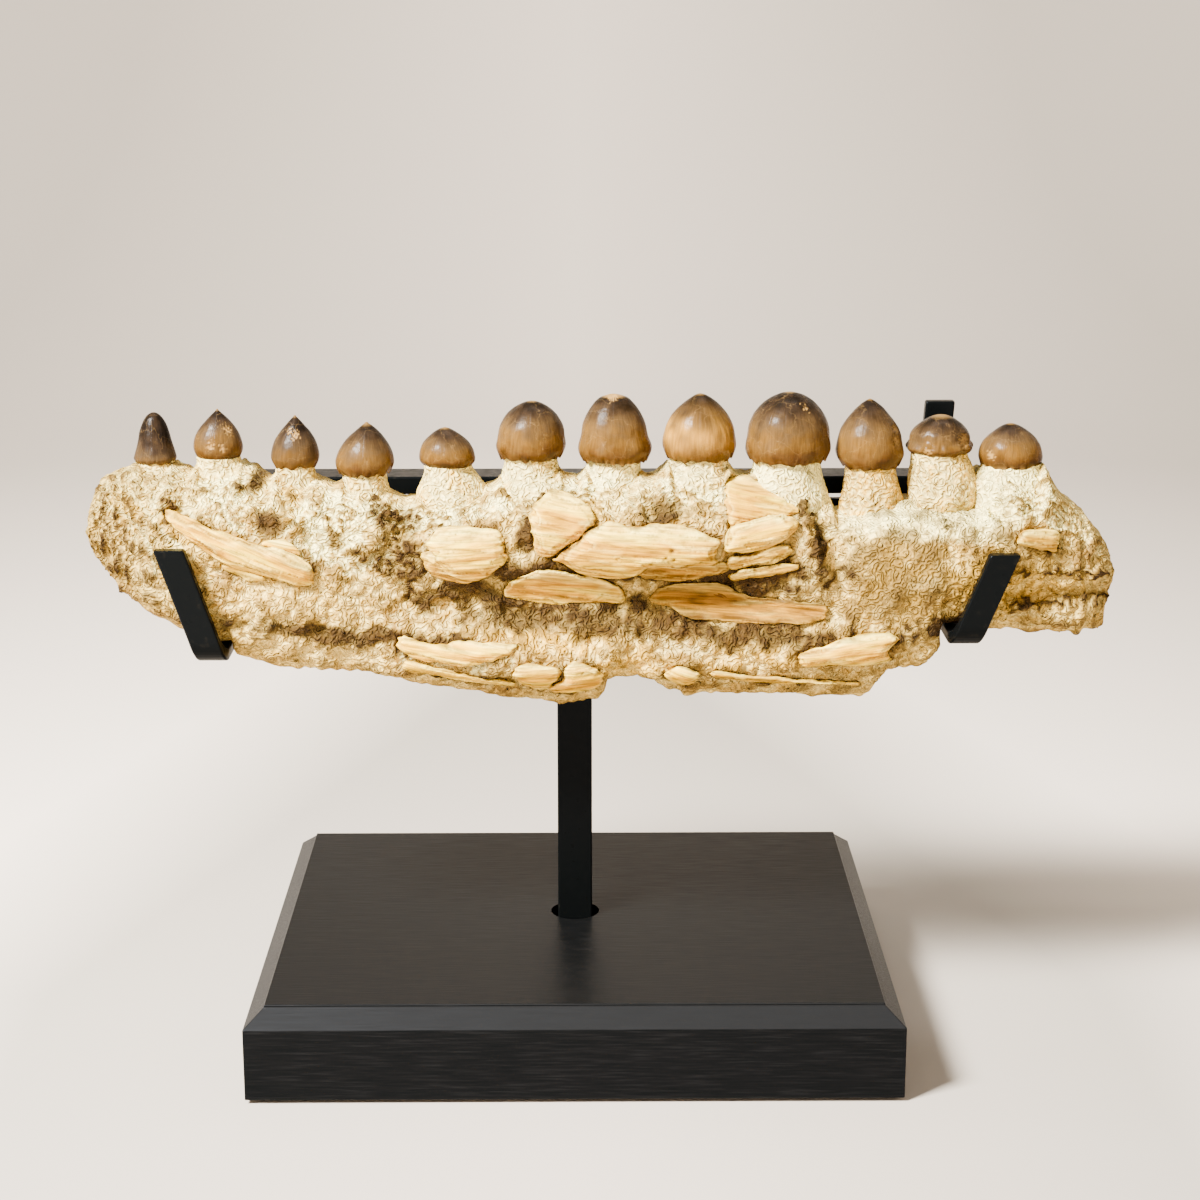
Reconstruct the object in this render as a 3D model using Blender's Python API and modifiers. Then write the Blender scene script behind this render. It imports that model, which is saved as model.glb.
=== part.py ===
"""A fossil mosasaur jaw with crushing, bulb-shaped teeth, on its black museum mount.

Units are metres and +Z is up. The origin is the centre of the felt pad's underside, +X runs
along the jaw towards its thick hind end, and the toothed front face looks along -Y.
Run with: blender --background --python part.py
"""

import math
from collections import namedtuple

import bmesh
import bpy
from mathutils import Vector, noise

MM = 0.001
GAP = 0.3 * MM  # clearance kept between pieces that touch

# Plinth, a painted board with a sloped rim round a raised top
PAD_THICK = 1.2 * MM
PAD_INSET = 3 * MM
PLINTH_WIDTH = 226 * MM
PLINTH_DEPTH = 186 * MM
PLINTH_SIDE = 25.7 * MM
RIM_WIDTH = 9.4 * MM
RIM_RISE = 5.6 * MM
TOP_STEP = 0.9 * MM
PLINTH_FOOT = PAD_THICK + GAP
PLINTH_TOP = PLINTH_FOOT + PLINTH_SIDE + RIM_RISE + TOP_STEP

# Square steel post in a round socket, with a flat crossbar lying on its head
POST_SIDE = 12.7 * MM
SOCKET_RADIUS = 9.0 * MM
SOCKET_DEPTH = 16 * MM
BAR_UNDERSIDE = 194.8 * MM
BAR_HEIGHT = 6.4 * MM
BAR_DEPTH = 16 * MM
BAR_LEFT, BAR_RIGHT = -131 * MM, 156 * MM
STEEL_BEVEL = 0.7 * MM
BRACKET_LEFT, BRACKET_STEP, BRACKET_RIGHT = 88 * MM, 112 * MM, 127 * MM
BRACKET_DROP, BRACKET_STRIP, BRACKET_THICK = 13 * MM, 11 * MM, 4 * MM

# Flat steel arms, bent under the jaw and up its face
ARM_WIDTH = 10.3 * MM
ARM_THICK = 4.2 * MM
ARM_BEND = 7 * MM
LEFT_SEAT, RIGHT_SEAT = 151.2 * MM, 157.2 * MM
ARM_BACK = -POST_SIDE / 2 - GAP - ARM_THICK / 2

# Slab of bone and rock
TOOTH_LINE = -33 * MM
BELLY_LINE = -43 * MM
FACE_PLANE = -54 * MM
BACK_PLANE = -11.7 * MM
EDGE_ROUNDING = 2.8
LEDGE_ROUNDING = 5.0
ROUGH_LUMPS = ((19, 1.5), (7.5, 0.75))  # size and rise of the rock's lumps, in millimetres
FRONT_TAPER, HIND_TAPER = 26, 12  # lengths over which the ends thin, in millimetres
END_THICKNESS = 0.62
STATION_SPACING = 4.2 * MM
NARROWEST_STATION = 1.1 * MM
FACE_ROWS = 15
BACK_ROWS = 7
ROW_CROWDING = 1.45

# Crest and belly of the slab, as (x, z) in millimetres where their direction changes
CREST = (
    (-166.6, 193), (-165.5, 200), (-163, 206.3), (-152, 210.6), (-136, 210.3), (-131, 208.4),
    (-113.5, 210), (-110, 210.4), (-105, 206.2), (-84, 204.6), (-60, 199.6), (-51, 199.5),
    (-28, 203.5), (0, 207.2), (22, 206.6), (30, 208.2), (57, 208), (84, 201), (90, 194.6),
    (95, 194.6), (110, 197), (117, 198.6), (138, 205.8), (162, 208.2), (169, 200.5), (176, 195),
    (182, 187.5), (185.4, 180),
)
BELLY = (
    (-166.6, 190), (-164.4, 181.5), (-156, 168.8), (-143, 159.8), (-131, 153.8), (-129.6, 151.7),
    (-118, 151.6), (-116.6, 146.6), (-102, 142.2), (-75, 140.6), (-52, 136), (-25, 131.2),
    (-4, 128.6), (8, 130.4), (10, 132.8), (11.5, 137.4), (22, 139.4), (32, 134), (39.5, 130.8),
    (50, 132.6), (100, 130.8), (102.6, 132.6), (107.5, 140), (122, 143.4), (125, 148), (126.6, 157.7),
    (140.4, 157.7), (142, 155.8), (173, 153.6), (182, 156.6), (184, 166.6), (185.6, 176),
)

Swell = namedtuple("Swell", "x z half_length half_height rise")
# Broad hills and hollows of the face, in millimetres
FACE_SWELLS = (
    Swell(18, 188, 52, 11, 4.5),  # bone of the jaw's wall
    Swell(22, 166, 60, 8, -7),  # hollow under it
    Swell(-45, 165, 26, 11, -3.5),
    Swell(-58, 184, 9, 18, -4),  # gap beside the fifth tooth
    Swell(-75, 180, 13, 16, -2.5),  # trough of bare rock under the fourth
    Swell(-28, 145, 42, 8, 5),  # lower bone, front half
    Swell(76, 146, 46, 9, 5),  # lower bone, hind half
    Swell(116, 176, 34, 22, 5.5),  # pillow of bare rock
    Swell(-96, 163, 36, 16, 3),
    Swell(-113, 187, 30, 9, 2.5),
    Swell(-158, 180, 14, 26, -4),
    Swell(168, 168.5, 24, 3.2, -5),  # long groove near the broken end
    Swell(166, 161, 24, 6, 1.5),
    Swell(151, 197, 15, 13, 3),
    Swell(90, 182, 3.5, 16, -4),  # step between the bone and the bare rock
)
# Bare rock behind the ninth tooth ends in a flat ledge, from x to x in millimetres
LEDGE = (84, 96, 138, 156)
# The roots show as ribs on the face
ROOT_RIB_Z, ROOT_RIB_LENGTH, ROOT_RIB_RISE = 198, 12, 2.6
ROOT_RIB_WIDTH = 0.42

Tooth = namedtuple("Tooth", "x base_z tip_z crown neck root swell root_shift lean dome power")
# Per tooth, in millimetres: place, heights of the crown's base and tip, widths of crown, neck
# and root, the root's swelling and its foot's shift, the tip's lean, then the dome's two powers
TEETH = (
    Tooth(-144.0, 212.2, 229.3, 14.6, 13.2, 12.8, 0.0, 0.4, 0.0, 1.25, 0.95),
    Tooth(-122.3, 213.4, 230.5, 16.8, 13.8, 15.4, 0.6, 1.2, 0.2, 1.9, 1.08),
    Tooth(-95.9, 210.6, 228.2, 16.6, 13.6, 13.8, 0.3, 0.0, 0.3, 1.9, 1.05),
    Tooth(-72.1, 208.2, 225.8, 20.2, 17.2, 15.4, 0.2, 0.0, 1.0, 1.8, 0.98),
    Tooth(-43.4, 210.4, 224.0, 19.6, 15.0, 17.4, 3.0, 2.2, -0.8, 1.9, 0.82),
    Tooth(-14.9, 213.6, 233.1, 23.9, 20.6, 19.4, 0.2, 0.0, 0.6, 2.2, 0.60),
    Tooth(14.2, 212.6, 236.0, 24.8, 21.6, 18.6, 0.0, -2.0, -0.6, 1.5, 0.50),
    Tooth(43.3, 213.5, 235.6, 25.0, 22.2, 20.6, 0.4, -1.0, 0.1, 2.0, 0.74),
    Tooth(73.8, 212.8, 236.1, 29.0, 26.4, 24.0, 0.0, 0.2, 0.3, 2.2, 0.56),
    Tooth(102.3, 210.4, 233.7, 23.4, 19.6, 18.4, 0.2, 0.8, -0.6, 1.8, 0.78),
    Tooth(126.1, 214.6, 228.1, 22.4, 18.2, 20.2, 1.2, 1.6, 0.3, 2.0, 0.66),
    Tooth(151.0, 210.8, 225.1, 22.1, 20.8, 21.2, 0.6, 0.4, -0.6, 1.9, 0.70),
)
TOOTH_SIDES = 14
TOOTH_DEPTH_RATIO = 0.94
TOOTH_LUMPS = 0.06
ROOT_LENGTH = 27 * MM
# Root as shares: of its length below the crown, of its width, and of its swelling
ROOT_STEPS = ((1, 0.7, 0), (0.6, 1.22, 0), (0.36, 1.07, 1), (0.2, 1, 0.7), (0.05, 0.97, 0))
ROOT_SHIFT_DEPTH = 0.4
CROWN_WIDEST = 0.24  # height of the widest ring, as a share of the crown's
COLLAR_HEIGHT, COLLAR_WIDTH = 0.45, 0.75
DOME_STEPS = (0.3, 0.55, 0.75, 0.9)

Plate = namedtuple("Plate", "name x z length height slope thick sides raggedness")
# Flakes of bone wall raised on the face: centre, size, slope in degrees, rise, corners
PLATES = (
    Plate("long wall", 26, 186.5, 52, 15, -6, 3.4, 12, 0.10),
    Plate("long wall tip", -4, 190, 24, 21, 20, 3.0, 9, 0.12),
    Plate("upper hind", 65, 197, 29, 12, 6, 2.6, 9, 0.12),
    Plate("hind stub", 68, 186, 34, 9, 12, 2.6, 8, 0.14),
    Plate("middle", -36, 183, 28, 18, 2, 2.8, 10, 0.10),
    Plate("front spar", -113, 184.5, 58, 11, -23, 2.4, 11, 0.08),
    Plate("hollow front", -4, 168.5, 44, 9, -4, 2.4, 10, 0.12),
    Plate("hollow hind", 57, 165.5, 62, 12, -3, 2.4, 10, 0.10),
    Plate("lower front", -27, 141, 60, 9, -5, 2.2, 11, 0.12),
    Plate("lower hind", 94, 150, 38, 9, 6, 2.4, 9, 0.14),
    Plate("belly hind", 70, 139, 56, 6, -2, 2.0, 10, 0.12),
    Plate("end spar", 159.5, 187.5, 17, 7, -8, 2.4, 8, 0.14),
)
PLATE_ROOT = 4 * MM
PLATE_SQUARENESS = 0.8
PLATE_RIM, PLATE_TOP = 0.45, 0.82  # height of the steep rim, and width of the top above it


def clear_scene():
    for obj in list(bpy.data.objects):
        bpy.data.objects.remove(obj)


def new_collection(name):
    collection = bpy.data.collections.new(name)
    bpy.context.scene.collection.children.link(collection)
    return collection


def finish_of(name, colour, roughness, metallic=0.0):
    material = bpy.data.materials.new(name)
    material.use_nodes = True
    shader = material.node_tree.nodes["Principled BSDF"]
    shader.inputs["Base Color"].default_value = (*colour, 1)
    shader.inputs["Roughness"].default_value = roughness
    shader.inputs["Metallic"].default_value = metallic
    return material


def object_from(name, bm, collection, material=None):
    """Turns a bmesh into a named object, with its faces pointing out."""
    bmesh.ops.recalc_face_normals(bm, faces=bm.faces)
    mesh = bpy.data.meshes.new(name)
    bm.to_mesh(mesh)
    bm.free()
    if material:
        mesh.materials.append(material)
    obj = bpy.data.objects.new(name, mesh)
    collection.objects.link(obj)
    return obj


def add_bevel(obj, width, segments=2):
    bevel = obj.modifiers.new("rounded edges", "BEVEL")
    bevel.width = width
    bevel.segments = segments
    bevel.limit_method = "ANGLE"
    return bevel


def box(name, low, high, collection, material):
    """A box between two corners, from the cube primitive."""
    bm = bmesh.new()
    bmesh.ops.create_cube(bm, size=1)
    low, high = Vector(low), Vector(high)
    bmesh.ops.scale(bm, vec=high - low, verts=bm.verts)
    obj = object_from(name, bm, collection, material)
    obj.location = (low + high) / 2
    return obj


def between(points, x):
    """Height at x, in metres, of a line through (x, z) points in millimetres."""
    x = min(max(x / MM, points[0][0]), points[-1][0])
    for (x0, z0), (x1, z1) in zip(points, points[1:]):
        if x <= x1:
            return (z0 + (z1 - z0) * (x - x0) / (x1 - x0)) * MM
    return points[-1][1] * MM


def hill(swell, x, z):
    across = (x / MM - swell.x) / swell.half_length
    up = (z / MM - swell.z) / swell.half_height
    return swell.rise * MM * math.exp(-(across**2) - up**2)


def roughness_at(x, y, z):
    """Lumps of broken rock, the same at every run."""
    point = Vector((x, y, z))
    return sum(rise * MM * noise.noise(point / (size * MM)) for size, rise in ROUGH_LUMPS)


def face_relief(x, z):
    """How far the face stands out of its plane."""
    relief = sum(hill(swell, x, z) for swell in FACE_SWELLS)
    for tooth in TEETH:
        rib = Swell(tooth.x, ROOT_RIB_Z, tooth.root * ROOT_RIB_WIDTH, ROOT_RIB_LENGTH, ROOT_RIB_RISE)
        relief += hill(rib, x, z)
    return relief + roughness_at(x, 0, z)


def end_taper(x):
    """The slab thins towards both broken ends."""
    from_front = (x / MM - CREST[0][0]) / FRONT_TAPER
    from_hind = (CREST[-1][0] - x / MM) / HIND_TAPER
    near = min(max(min(from_front, from_hind), 0), 1)
    return END_THICKNESS + (1 - END_THICKNESS) * math.sin(near * math.pi / 2)


def edge_share(share, rounding):
    """Thickness at a share of the height from belly to crest, 0 at both edges."""
    across = abs(2 * share - 1)
    return (1 - across**rounding) ** (1 / rounding)


def rounding_at(x, share):
    """How square the face's edge is: the ledge has a sharper one."""
    start, full, end, gone = LEDGE
    coming = min(max((x / MM - start) / (full - start), 0), 1)
    going = min(max((gone - x / MM) / (gone - end), 0), 1)
    return EDGE_ROUNDING + (LEDGE_ROUNDING - EDGE_ROUNDING) * coming * going * (share > 0.5)


def seam_y(share):
    """Depth of the line where face and back meet, from the belly's up to the teeth's."""
    return BELLY_LINE + share * (TOOTH_LINE - BELLY_LINE)


def height_share(x, z):
    belly, crest = between(BELLY, x), between(CREST, x)
    return min(max((z - belly) / (crest - belly), 0), 1)


def face_y(x, z):
    """Depth of the slab's toothed face at a point of it."""
    share = height_share(x, z)
    seam = seam_y(share)
    out = (seam - FACE_PLANE) * end_taper(x) + face_relief(x, z)
    return seam - edge_share(share, rounding_at(x, share)) * out


def back_y(x, z):
    share = height_share(x, z)
    seam = seam_y(share)
    out = (BACK_PLANE - seam) * end_taper(x) - abs(roughness_at(x, 0.5, z))
    return seam + edge_share(share, EDGE_ROUNDING) * out


def height_shares(rows):
    """Shares of the height from belly to crest, closer together near both edges."""
    shares = []
    for row in range(rows + 1):
        side = 2 * row / rows - 1
        shares.append(0.5 + 0.5 * math.copysign(1 - (1 - abs(side)) ** ROW_CROWDING, side))
    return shares


def stations():
    """Places along the jaw where it is cut: at each corner of its outline and between."""
    corners = sorted({x * MM for x, _ in CREST + BELLY})
    kept = [corners[0]]
    for x in corners[1:]:
        if x - kept[-1] < NARROWEST_STATION and x != corners[-1]:
            continue
        steps = math.ceil((x - kept[-1]) / STATION_SPACING)
        start = kept[-1]
        kept += [start + (x - start) * step / steps for step in range(1, steps + 1)]
    return kept


def slab_section(x):
    """One ring of points round the slab: up its face, then down its back."""
    belly, crest = between(BELLY, x), between(CREST, x)
    ring = []
    for share in height_shares(FACE_ROWS):
        z = belly + share * (crest - belly)
        ring.append(Vector((x, face_y(x, z), z)))
    for share in reversed(height_shares(BACK_ROWS)[1:-1]):
        z = belly + share * (crest - belly)
        ring.append(Vector((x, back_y(x, z), z)))
    return ring


def skin_rings(bm, rings):
    """Faces between rings of equal length, and a cap on both ends."""
    loops = [[bm.verts.new(point) for point in ring] for ring in rings]
    for first, second in zip(loops, loops[1:]):
        for i in range(len(first)):
            j = (i + 1) % len(first)
            bm.faces.new((first[i], first[j], second[j], second[i]))
    bm.faces.new(loops[0])
    bm.faces.new(reversed(loops[-1]))


def make_slab(collection, material):
    bm = bmesh.new()
    skin_rings(bm, [slab_section(x) for x in stations()])
    bmesh.ops.triangulate(bm, faces=bm.faces)
    return object_from("jaw", bm, collection, material)


def tooth_profile(tooth):
    """(height, radius) pairs from deep in the slab up over the root and crown to the tip."""
    base, tip = tooth.base_z * MM, tooth.tip_z * MM
    root, neck, crown = (width * MM / 2 for width in (tooth.root, tooth.neck, tooth.crown))
    swell = tooth.swell * MM
    widest = base + CROWN_WIDEST * (tip - base)
    profile = [
        (base - depth * ROOT_LENGTH, root * width + swell * swelling)
        for depth, width, swelling in ROOT_STEPS
    ]
    profile += [
        (base, neck),
        (base + COLLAR_HEIGHT * (widest - base), neck + COLLAR_WIDTH * (crown - neck)),
        (widest, crown),
    ]
    for share in DOME_STEPS:
        radius = crown * (1 - share**tooth.dome) ** tooth.power
        profile.append((widest + share * (tip - widest), radius))
    return profile


def make_tooth(number, tooth, collection):
    """A crown on its bony root, turned round an upright axis and leant towards its tip."""
    bm = bmesh.new()
    base, tip = tooth.base_z * MM, tooth.tip_z * MM
    rings = []
    for z, radius in tooth_profile(tooth):
        crown_lean = tooth.lean * MM * max(0, (z - base) / (tip - base))
        sunk = min(1, max(0, (base - z) / (ROOT_SHIFT_DEPTH * ROOT_LENGTH)))
        root_lean = tooth.root_shift * MM * sunk
        middle = tooth.x * MM + crown_lean + root_lean
        ring = []
        for side in range(TOOTH_SIDES):
            turn = 2 * math.pi * side / TOOTH_SIDES
            place = Vector((math.cos(turn), math.sin(turn), number + z / (2 * ROOT_LENGTH)))
            lump = 1 + TOOTH_LUMPS * noise.noise(place)
            x = middle + radius * lump * math.cos(turn)
            y = TOOTH_LINE + radius * lump * TOOTH_DEPTH_RATIO * math.sin(turn)
            ring.append(bm.verts.new((x, y, z)))
        rings.append(ring)
    for lower, upper in zip(rings, rings[1:]):
        for i in range(TOOTH_SIDES):
            j = (i + 1) % TOOTH_SIDES
            bm.faces.new((lower[i], lower[j], upper[j], upper[i]))
    bm.faces.new(rings[0])
    top = bm.verts.new(((tooth.x + tooth.lean) * MM, TOOTH_LINE, tip))
    for i in range(TOOTH_SIDES):
        bm.faces.new((rings[-1][i], rings[-1][(i + 1) % TOOTH_SIDES], top))
    return object_from(f"tooth_{number:02d}", bm, collection)


def plate_outline(plate, shrink=1.0):
    """Corners (x, z) of a ragged flake round its centre."""
    slope = math.radians(plate.slope)
    corners = []
    for side in range(plate.sides):
        turn = 2 * math.pi * side / plate.sides
        raggedness = noise.noise(Vector((plate.x * 0.7 + side * 1.7, plate.z, 3)))
        wobble = 1 + 2 * plate.raggedness * raggedness
        across = math.copysign(abs(math.cos(turn)) ** PLATE_SQUARENESS, math.cos(turn)) * plate.length / 2
        up = math.copysign(abs(math.sin(turn)) ** PLATE_SQUARENESS, math.sin(turn)) * plate.height / 2
        across, up = across * wobble * shrink, up * wobble * shrink
        x = plate.x + across * math.cos(slope) - up * math.sin(slope)
        z = plate.z + across * math.sin(slope) + up * math.cos(slope)
        corners.append((x * MM, z * MM))
    return corners


def make_plate(plate, collection):
    """A flake of bone: a sloped rim and a flatter top, following the face under it."""
    bm = bmesh.new()
    rise = plate.thick * MM
    layers = ((1, PLATE_ROOT), (1, -PLATE_RIM * rise), (PLATE_TOP, -rise))
    rings = []
    for shrink, depth in layers:
        ring = [bm.verts.new((x, face_y(x, z) + depth, z)) for x, z in plate_outline(plate, shrink)]
        rings.append(ring)
    for outer, inner in zip(rings, rings[1:]):
        for i in range(plate.sides):
            j = (i + 1) % plate.sides
            bm.faces.new((outer[i], outer[j], inner[j], inner[i]))
    for ring, depth in ((rings[0], PLATE_ROOT), (rings[-1], -rise)):
        x, z = plate.x * MM, plate.z * MM
        middle = bm.verts.new((x, face_y(x, z) + depth, z))
        for i in range(plate.sides):
            bm.faces.new((ring[i], ring[(i + 1) % plate.sides], middle))
    return object_from("plate_" + plate.name.replace(" ", "_"), bm, collection)


def join_pieces(obj, pieces):
    """Unites the pieces of a collection with an object, then removes them."""
    union = obj.modifiers.new("one piece", "BOOLEAN")
    union.operation = "UNION"
    union.operand_type = "COLLECTION"
    union.collection = pieces
    union.solver = "EXACT"
    evaluated = obj.evaluated_get(bpy.context.evaluated_depsgraph_get())
    joined = bpy.data.meshes.new_from_object(evaluated)
    obj.modifiers.clear()
    obj.data = joined
    for piece in list(pieces.objects):
        bpy.data.objects.remove(piece)
    bpy.data.collections.remove(pieces)


def keep_largest_surface(obj):
    """Drops what a union seals inside or leaves loose."""
    bm = bmesh.new()
    bm.from_mesh(obj.data)
    bmesh.ops.remove_doubles(bm, verts=bm.verts, dist=0.01 * MM)
    unseen = set(bm.faces)
    shells = []
    while unseen:
        front = [unseen.pop()]
        shell = list(front)
        while front:
            face = front.pop()
            near = {other for edge in face.edges for other in edge.link_faces} & unseen
            unseen -= near
            front += near
            shell += near
        shells.append(shell)
    largest = max(shells, key=len)
    loose = [face for shell in shells if shell is not largest for face in shell]
    bmesh.ops.delete(bm, geom=loose, context="FACES")
    bm.to_mesh(obj.data)
    bm.free()


def make_jaw(collection, material):
    jaw = make_slab(collection, material)
    pieces = new_collection("jaw pieces")
    for number, tooth in enumerate(TEETH, 1):
        make_tooth(number, tooth, pieces)
    for plate in PLATES:
        make_plate(plate, pieces)
    join_pieces(jaw, pieces)
    keep_largest_surface(jaw)
    return jaw


def make_plinth(collection, cutters, material):
    """A board whose top face is inset twice, for the sloped rim and the low step."""
    bm = bmesh.new()
    bmesh.ops.create_cube(bm, size=1)
    bmesh.ops.scale(bm, vec=(PLINTH_WIDTH, PLINTH_DEPTH, PLINTH_SIDE), verts=bm.verts)
    top = max(bm.faces, key=lambda face: face.calc_center_median().z)
    bmesh.ops.inset_individual(bm, faces=[top], thickness=RIM_WIDTH, depth=RIM_RISE)
    bmesh.ops.inset_individual(bm, faces=[top], thickness=0.15 * MM, depth=TOP_STEP)
    plinth = object_from("plinth", bm, collection, material)
    plinth.location.z = PLINTH_FOOT + PLINTH_SIDE / 2
    bevel = add_bevel(plinth, 0.45 * MM)
    bevel.angle_limit = math.radians(20)
    socket = bmesh.new()
    bmesh.ops.create_cone(
        socket, cap_ends=True, segments=40, radius1=SOCKET_RADIUS, radius2=SOCKET_RADIUS,
        depth=2 * SOCKET_DEPTH,
    )
    cutter = object_from("socket_cutter", socket, cutters)
    cutter.location.z = PLINTH_TOP
    cutter.hide_render = True
    cutter.display_type = "WIRE"
    cut = plinth.modifiers.new("post socket", "BOOLEAN")
    cut.operation = "DIFFERENCE"
    cut.object = cutter
    cut.solver = "EXACT"
    return plinth


def make_pad(collection, material):
    half_width = PLINTH_WIDTH / 2 - PAD_INSET
    half_depth = PLINTH_DEPTH / 2 - PAD_INSET
    low, high = (-half_width, -half_depth, 0), (half_width, half_depth, PAD_THICK)
    return box("felt_pad", low, high, collection, material)


def make_post(collection, material):
    foot = PLINTH_TOP - SOCKET_DEPTH + GAP
    half = POST_SIDE / 2
    low, high = (-half, -half, foot), (half, half, BAR_UNDERSIDE - GAP)
    post = box("post", low, high, collection, material)
    add_bevel(post, STEEL_BEVEL)
    return post


def make_crossbar(collection, material):
    front = -POST_SIDE / 2
    low, high = (BAR_LEFT, front, BAR_UNDERSIDE), (BAR_RIGHT, front + BAR_DEPTH, BAR_UNDERSIDE + BAR_HEIGHT)
    bar = box("crossbar", low, high, collection, material)
    add_bevel(bar, STEEL_BEVEL)
    return bar


def make_bracket(collection, material):
    """A flat plate hung under the crossbar, cut to an L, seen between the hind teeth."""
    top = BAR_UNDERSIDE - GAP
    bottom = top - BRACKET_DROP
    outline = bpy.data.curves.new("bracket", "CURVE")
    outline.dimensions = "2D"
    outline.fill_mode = "BOTH"
    outline.extrude = BRACKET_THICK / 2
    corners = (
        (BRACKET_LEFT, bottom), (BRACKET_RIGHT, bottom), (BRACKET_RIGHT, top), (BRACKET_STEP, top),
        (BRACKET_STEP, bottom + BRACKET_STRIP), (BRACKET_LEFT, bottom + BRACKET_STRIP),
    )
    spline = outline.splines.new("POLY")
    spline.points.add(len(corners) - 1)
    for point, (x, z) in zip(spline.points, corners):
        point.co = (x, z, 0, 1)
    spline.use_cyclic_u = True
    outline.materials.append(material)
    bracket = bpy.data.objects.new("bracket", outline)
    collection.objects.link(bracket)
    bracket.rotation_euler.x = math.pi / 2
    bracket.location.y = -POST_SIDE / 2 + BRACKET_THICK
    return bracket


def rounded_route(corners, radius, steps=5):
    """A polyline through the corners, with an arc in place of each inner corner."""
    route = [corners[0]]
    for before, corner, after in zip(corners, corners[1:], corners[2:]):
        inward, outward = (before - corner).normalized(), (after - corner).normalized()
        half_angle = inward.angle(outward) / 2
        room = 0.45 * min((before - corner).length, (after - corner).length)
        reach = min(radius / math.tan(half_angle), room)
        start, end = corner + inward * reach, corner + outward * reach
        middle = corner + (inward + outward).normalized() * (reach / math.cos(half_angle))
        arm = (start - middle).length
        for step in range(steps + 1):
            spoke = (start - middle).lerp(end - middle, step / steps)
            route.append(middle + spoke.normalized() * arm)
    return route + [corners[-1]]


def bent_strip(name, corners, collection, material):
    """A flat bar along a route, its width always along X, with its long edges eased."""
    route = rounded_route([Vector(corner) for corner in corners], ARM_BEND)
    ease = STEEL_BEVEL
    half_w, half_t = ARM_WIDTH / 2, ARM_THICK / 2
    near_w, near_t = half_w - ease, half_t - ease
    outline = [
        (half_w, near_t), (near_w, half_t), (-near_w, half_t), (-half_w, near_t),
        (-half_w, -near_t), (-near_w, -half_t), (near_w, -half_t), (half_w, -near_t),
    ]
    rings = []
    for i, point in enumerate(route):
        ahead = route[min(i + 1, len(route) - 1)] - route[max(i - 1, 0)]
        normal = Vector((0, -ahead.z, ahead.y)).normalized()
        rings.append([point + Vector((across, 0, 0)) + normal * out for across, out in outline])
    bm = bmesh.new()
    skin_rings(bm, rings)
    return object_from(name, bm, collection, material)


def lowest_face(x_low, x_high, z_low, z_high, lean):
    """The face's nearest depth to the viewer under a leaning strip."""
    depths = []
    for i in range(9):
        z = z_low + (z_high - z_low) * i / 8
        for j in range(7):
            x = x_low + (x_high - x_low) * j / 6 + lean * (z - z_low)
            depths.append(face_y(x, z))
    return min(depths)


def make_arm(name, foot_x, belly_z, tip_x, tip_z, head_x, head_z, knee, collection, material):
    """An arm from its head behind the slab, down, under the belly and up the face to its tip."""
    floor_z = belly_z - GAP - ARM_THICK / 2
    lean = (tip_x - foot_x) / (tip_z - floor_z)
    half = ARM_WIDTH / 2
    face = lowest_face(foot_x - half, foot_x + half, belly_z, tip_z, lean)
    front = face - 2 * GAP - ARM_THICK / 2
    corners = [(head_x, ARM_BACK, head_z)]
    if knee:
        corners.append((knee[0], ARM_BACK, knee[1]))
    corners += [(foot_x, ARM_BACK, floor_z), (foot_x, front, floor_z), (tip_x, front, tip_z)]
    return bent_strip(name, corners, collection, material)


def make_arms(collection, material):
    bar_top = BAR_UNDERSIDE + BAR_HEIGHT
    make_arm(
        "arm_left", foot_x=-123.4 * MM, belly_z=LEFT_SEAT, tip_x=-136.2 * MM, tip_z=187.0 * MM,
        head_x=-123.4 * MM, head_z=bar_top, knee=None, collection=collection, material=material,
    )
    make_arm(
        "arm_right", foot_x=133.0 * MM, belly_z=RIGHT_SEAT, tip_x=145.2 * MM, tip_z=185.4 * MM,
        head_x=129.4 * MM, head_z=228.9 * MM, knee=(127.6 * MM, bar_top), collection=collection,
        material=material,
    )


def main():
    clear_scene()
    parts = new_collection("fossil mosasaur jaw")
    cutters = new_collection("cutters")
    fossil = finish_of("fossil bone and rock", (0.72, 0.56, 0.35), 0.85)
    steel = finish_of("black painted steel", (0.012, 0.012, 0.012), 0.35)
    wood = finish_of("black stained wood", (0.02, 0.02, 0.02), 0.5)
    felt = finish_of("black felt", (0.01, 0.01, 0.01), 0.95)
    make_pad(parts, felt)
    make_plinth(parts, cutters, wood)
    make_post(parts, steel)
    make_crossbar(parts, steel)
    make_bracket(parts, steel)
    make_arms(parts, steel)
    make_jaw(parts, fossil)


main()
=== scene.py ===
# %% [markdown]
# A fossil jaw on its museum stand.
# The real thing is one block of sandy rock with a jawbone in it. Twelve bulb-shaped teeth stand on
# its upper edge, flakes of yellow bone lie on its face, and two steel arms hook round it.
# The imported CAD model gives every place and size. This script puts a detailed skin on it:
# the rock as one dense grid, the teeth as turned shapes, the bone as cut flakes, and the stand.

import itertools
import math
from collections import namedtuple

import bmesh
import bpy
import numpy as np
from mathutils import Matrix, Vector
from mathutils.geometry import delaunay_2d_cdt


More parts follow.
